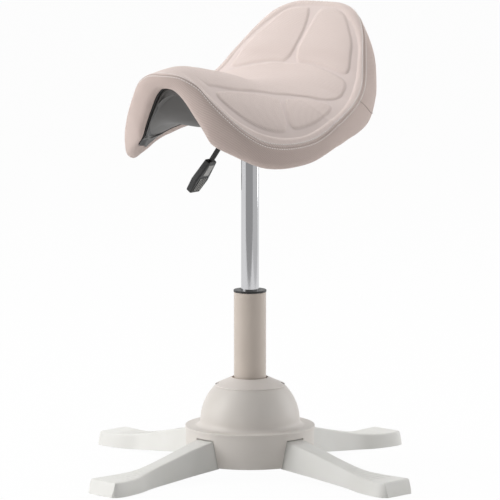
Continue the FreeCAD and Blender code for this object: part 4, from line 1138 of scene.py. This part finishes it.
def lamp(name, place, target, size, power):
    """A soft box at a place, turned to its target, with its width and height and its watts."""
    data = bpy.data.lights.new(name, "AREA")
    data.shape = "RECTANGLE"
    data.size, data.size_y = size
    data.energy = power
    made = bpy.data.objects.new(name, data)
    bpy.context.scene.collection.objects.link(made)
    made.location = place
    made.rotation_mode = "QUATERNION"
    made.rotation_quaternion = (Vector(target) - Vector(place)).to_track_quat("-Z", "Y")


def from_camera(right, near, up):
    """A place by the photographer's sides: to the right, towards the camera and up."""
    c, s = math.cos(BASE_TURN), math.sin(BASE_TURN)
    return (right * c + near * s, right * s - near * c, up)


def reflection_card(name, first, last, level):
    """A grey card that only reflections see, across these degrees as seen from the stool."""
    middle, half = math.radians((first + last) / 2), math.radians((last - first) / 2)
    shape = bmesh.new()
    bmesh.ops.create_grid(shape, x_segments=1, y_segments=1, size=1.0,
                          matrix=Matrix.Rotation(math.radians(90), 4, "X")
                          @ Matrix.Diagonal((CARD_REACH * math.tan(half), 1.0, 1.0, 1.0)))
    made, tree = new_material(name)
    close_material(tree, add(tree, "ShaderNodeEmission", {"Color": WHITE, "Strength": level}))
    card = new_object(name, shape, made)
    card.location = from_camera(CARD_REACH * math.sin(middle), CARD_REACH * math.cos(middle),
                                CARD_HEIGHT)
    card.rotation_euler = (0, 0, BASE_TURN + middle)
    card.visible_camera = card.visible_shadow = False
    card.visible_diffuse = card.visible_transmission = False


stage_floor()
studio_world()
reflection_card("dark_card_front", -56, 36, 0.42)
reflection_card("grey_card_right", 36, 112, 0.70)
lamp("window_left", from_camera(-2.7, 0.35, 1.45), (0, 0, 0.35), (1.6, 2.6), 54)
lamp("window_right", from_camera(2.7, -0.9, 1.1), (0, 0, 0.35), (1.4, 2.2), 33)
lamp("skylight", from_camera(-0.5, -0.6, 3.2), (0, 0, 0.5), (2.4, 2.4), 46)

camera_data = bpy.data.cameras.new("camera")
camera_data.sensor_width = SENSOR_WIDTH
camera_data.lens = LENS_PIXELS / PICTURE_PIXELS * SENSOR_WIDTH
camera = bpy.data.objects.new("camera", camera_data)
bpy.context.scene.collection.objects.link(camera)
camera.location = from_camera(0, CAMERA_REACH, CAMERA_HEIGHT)
camera.rotation_euler = (math.radians(90 - CAMERA_DOWN), 0, BASE_TURN)
camera_data.clip_end = 50
bpy.context.scene.camera = camera
bpy.context.scene.view_settings.view_transform = "Standard"
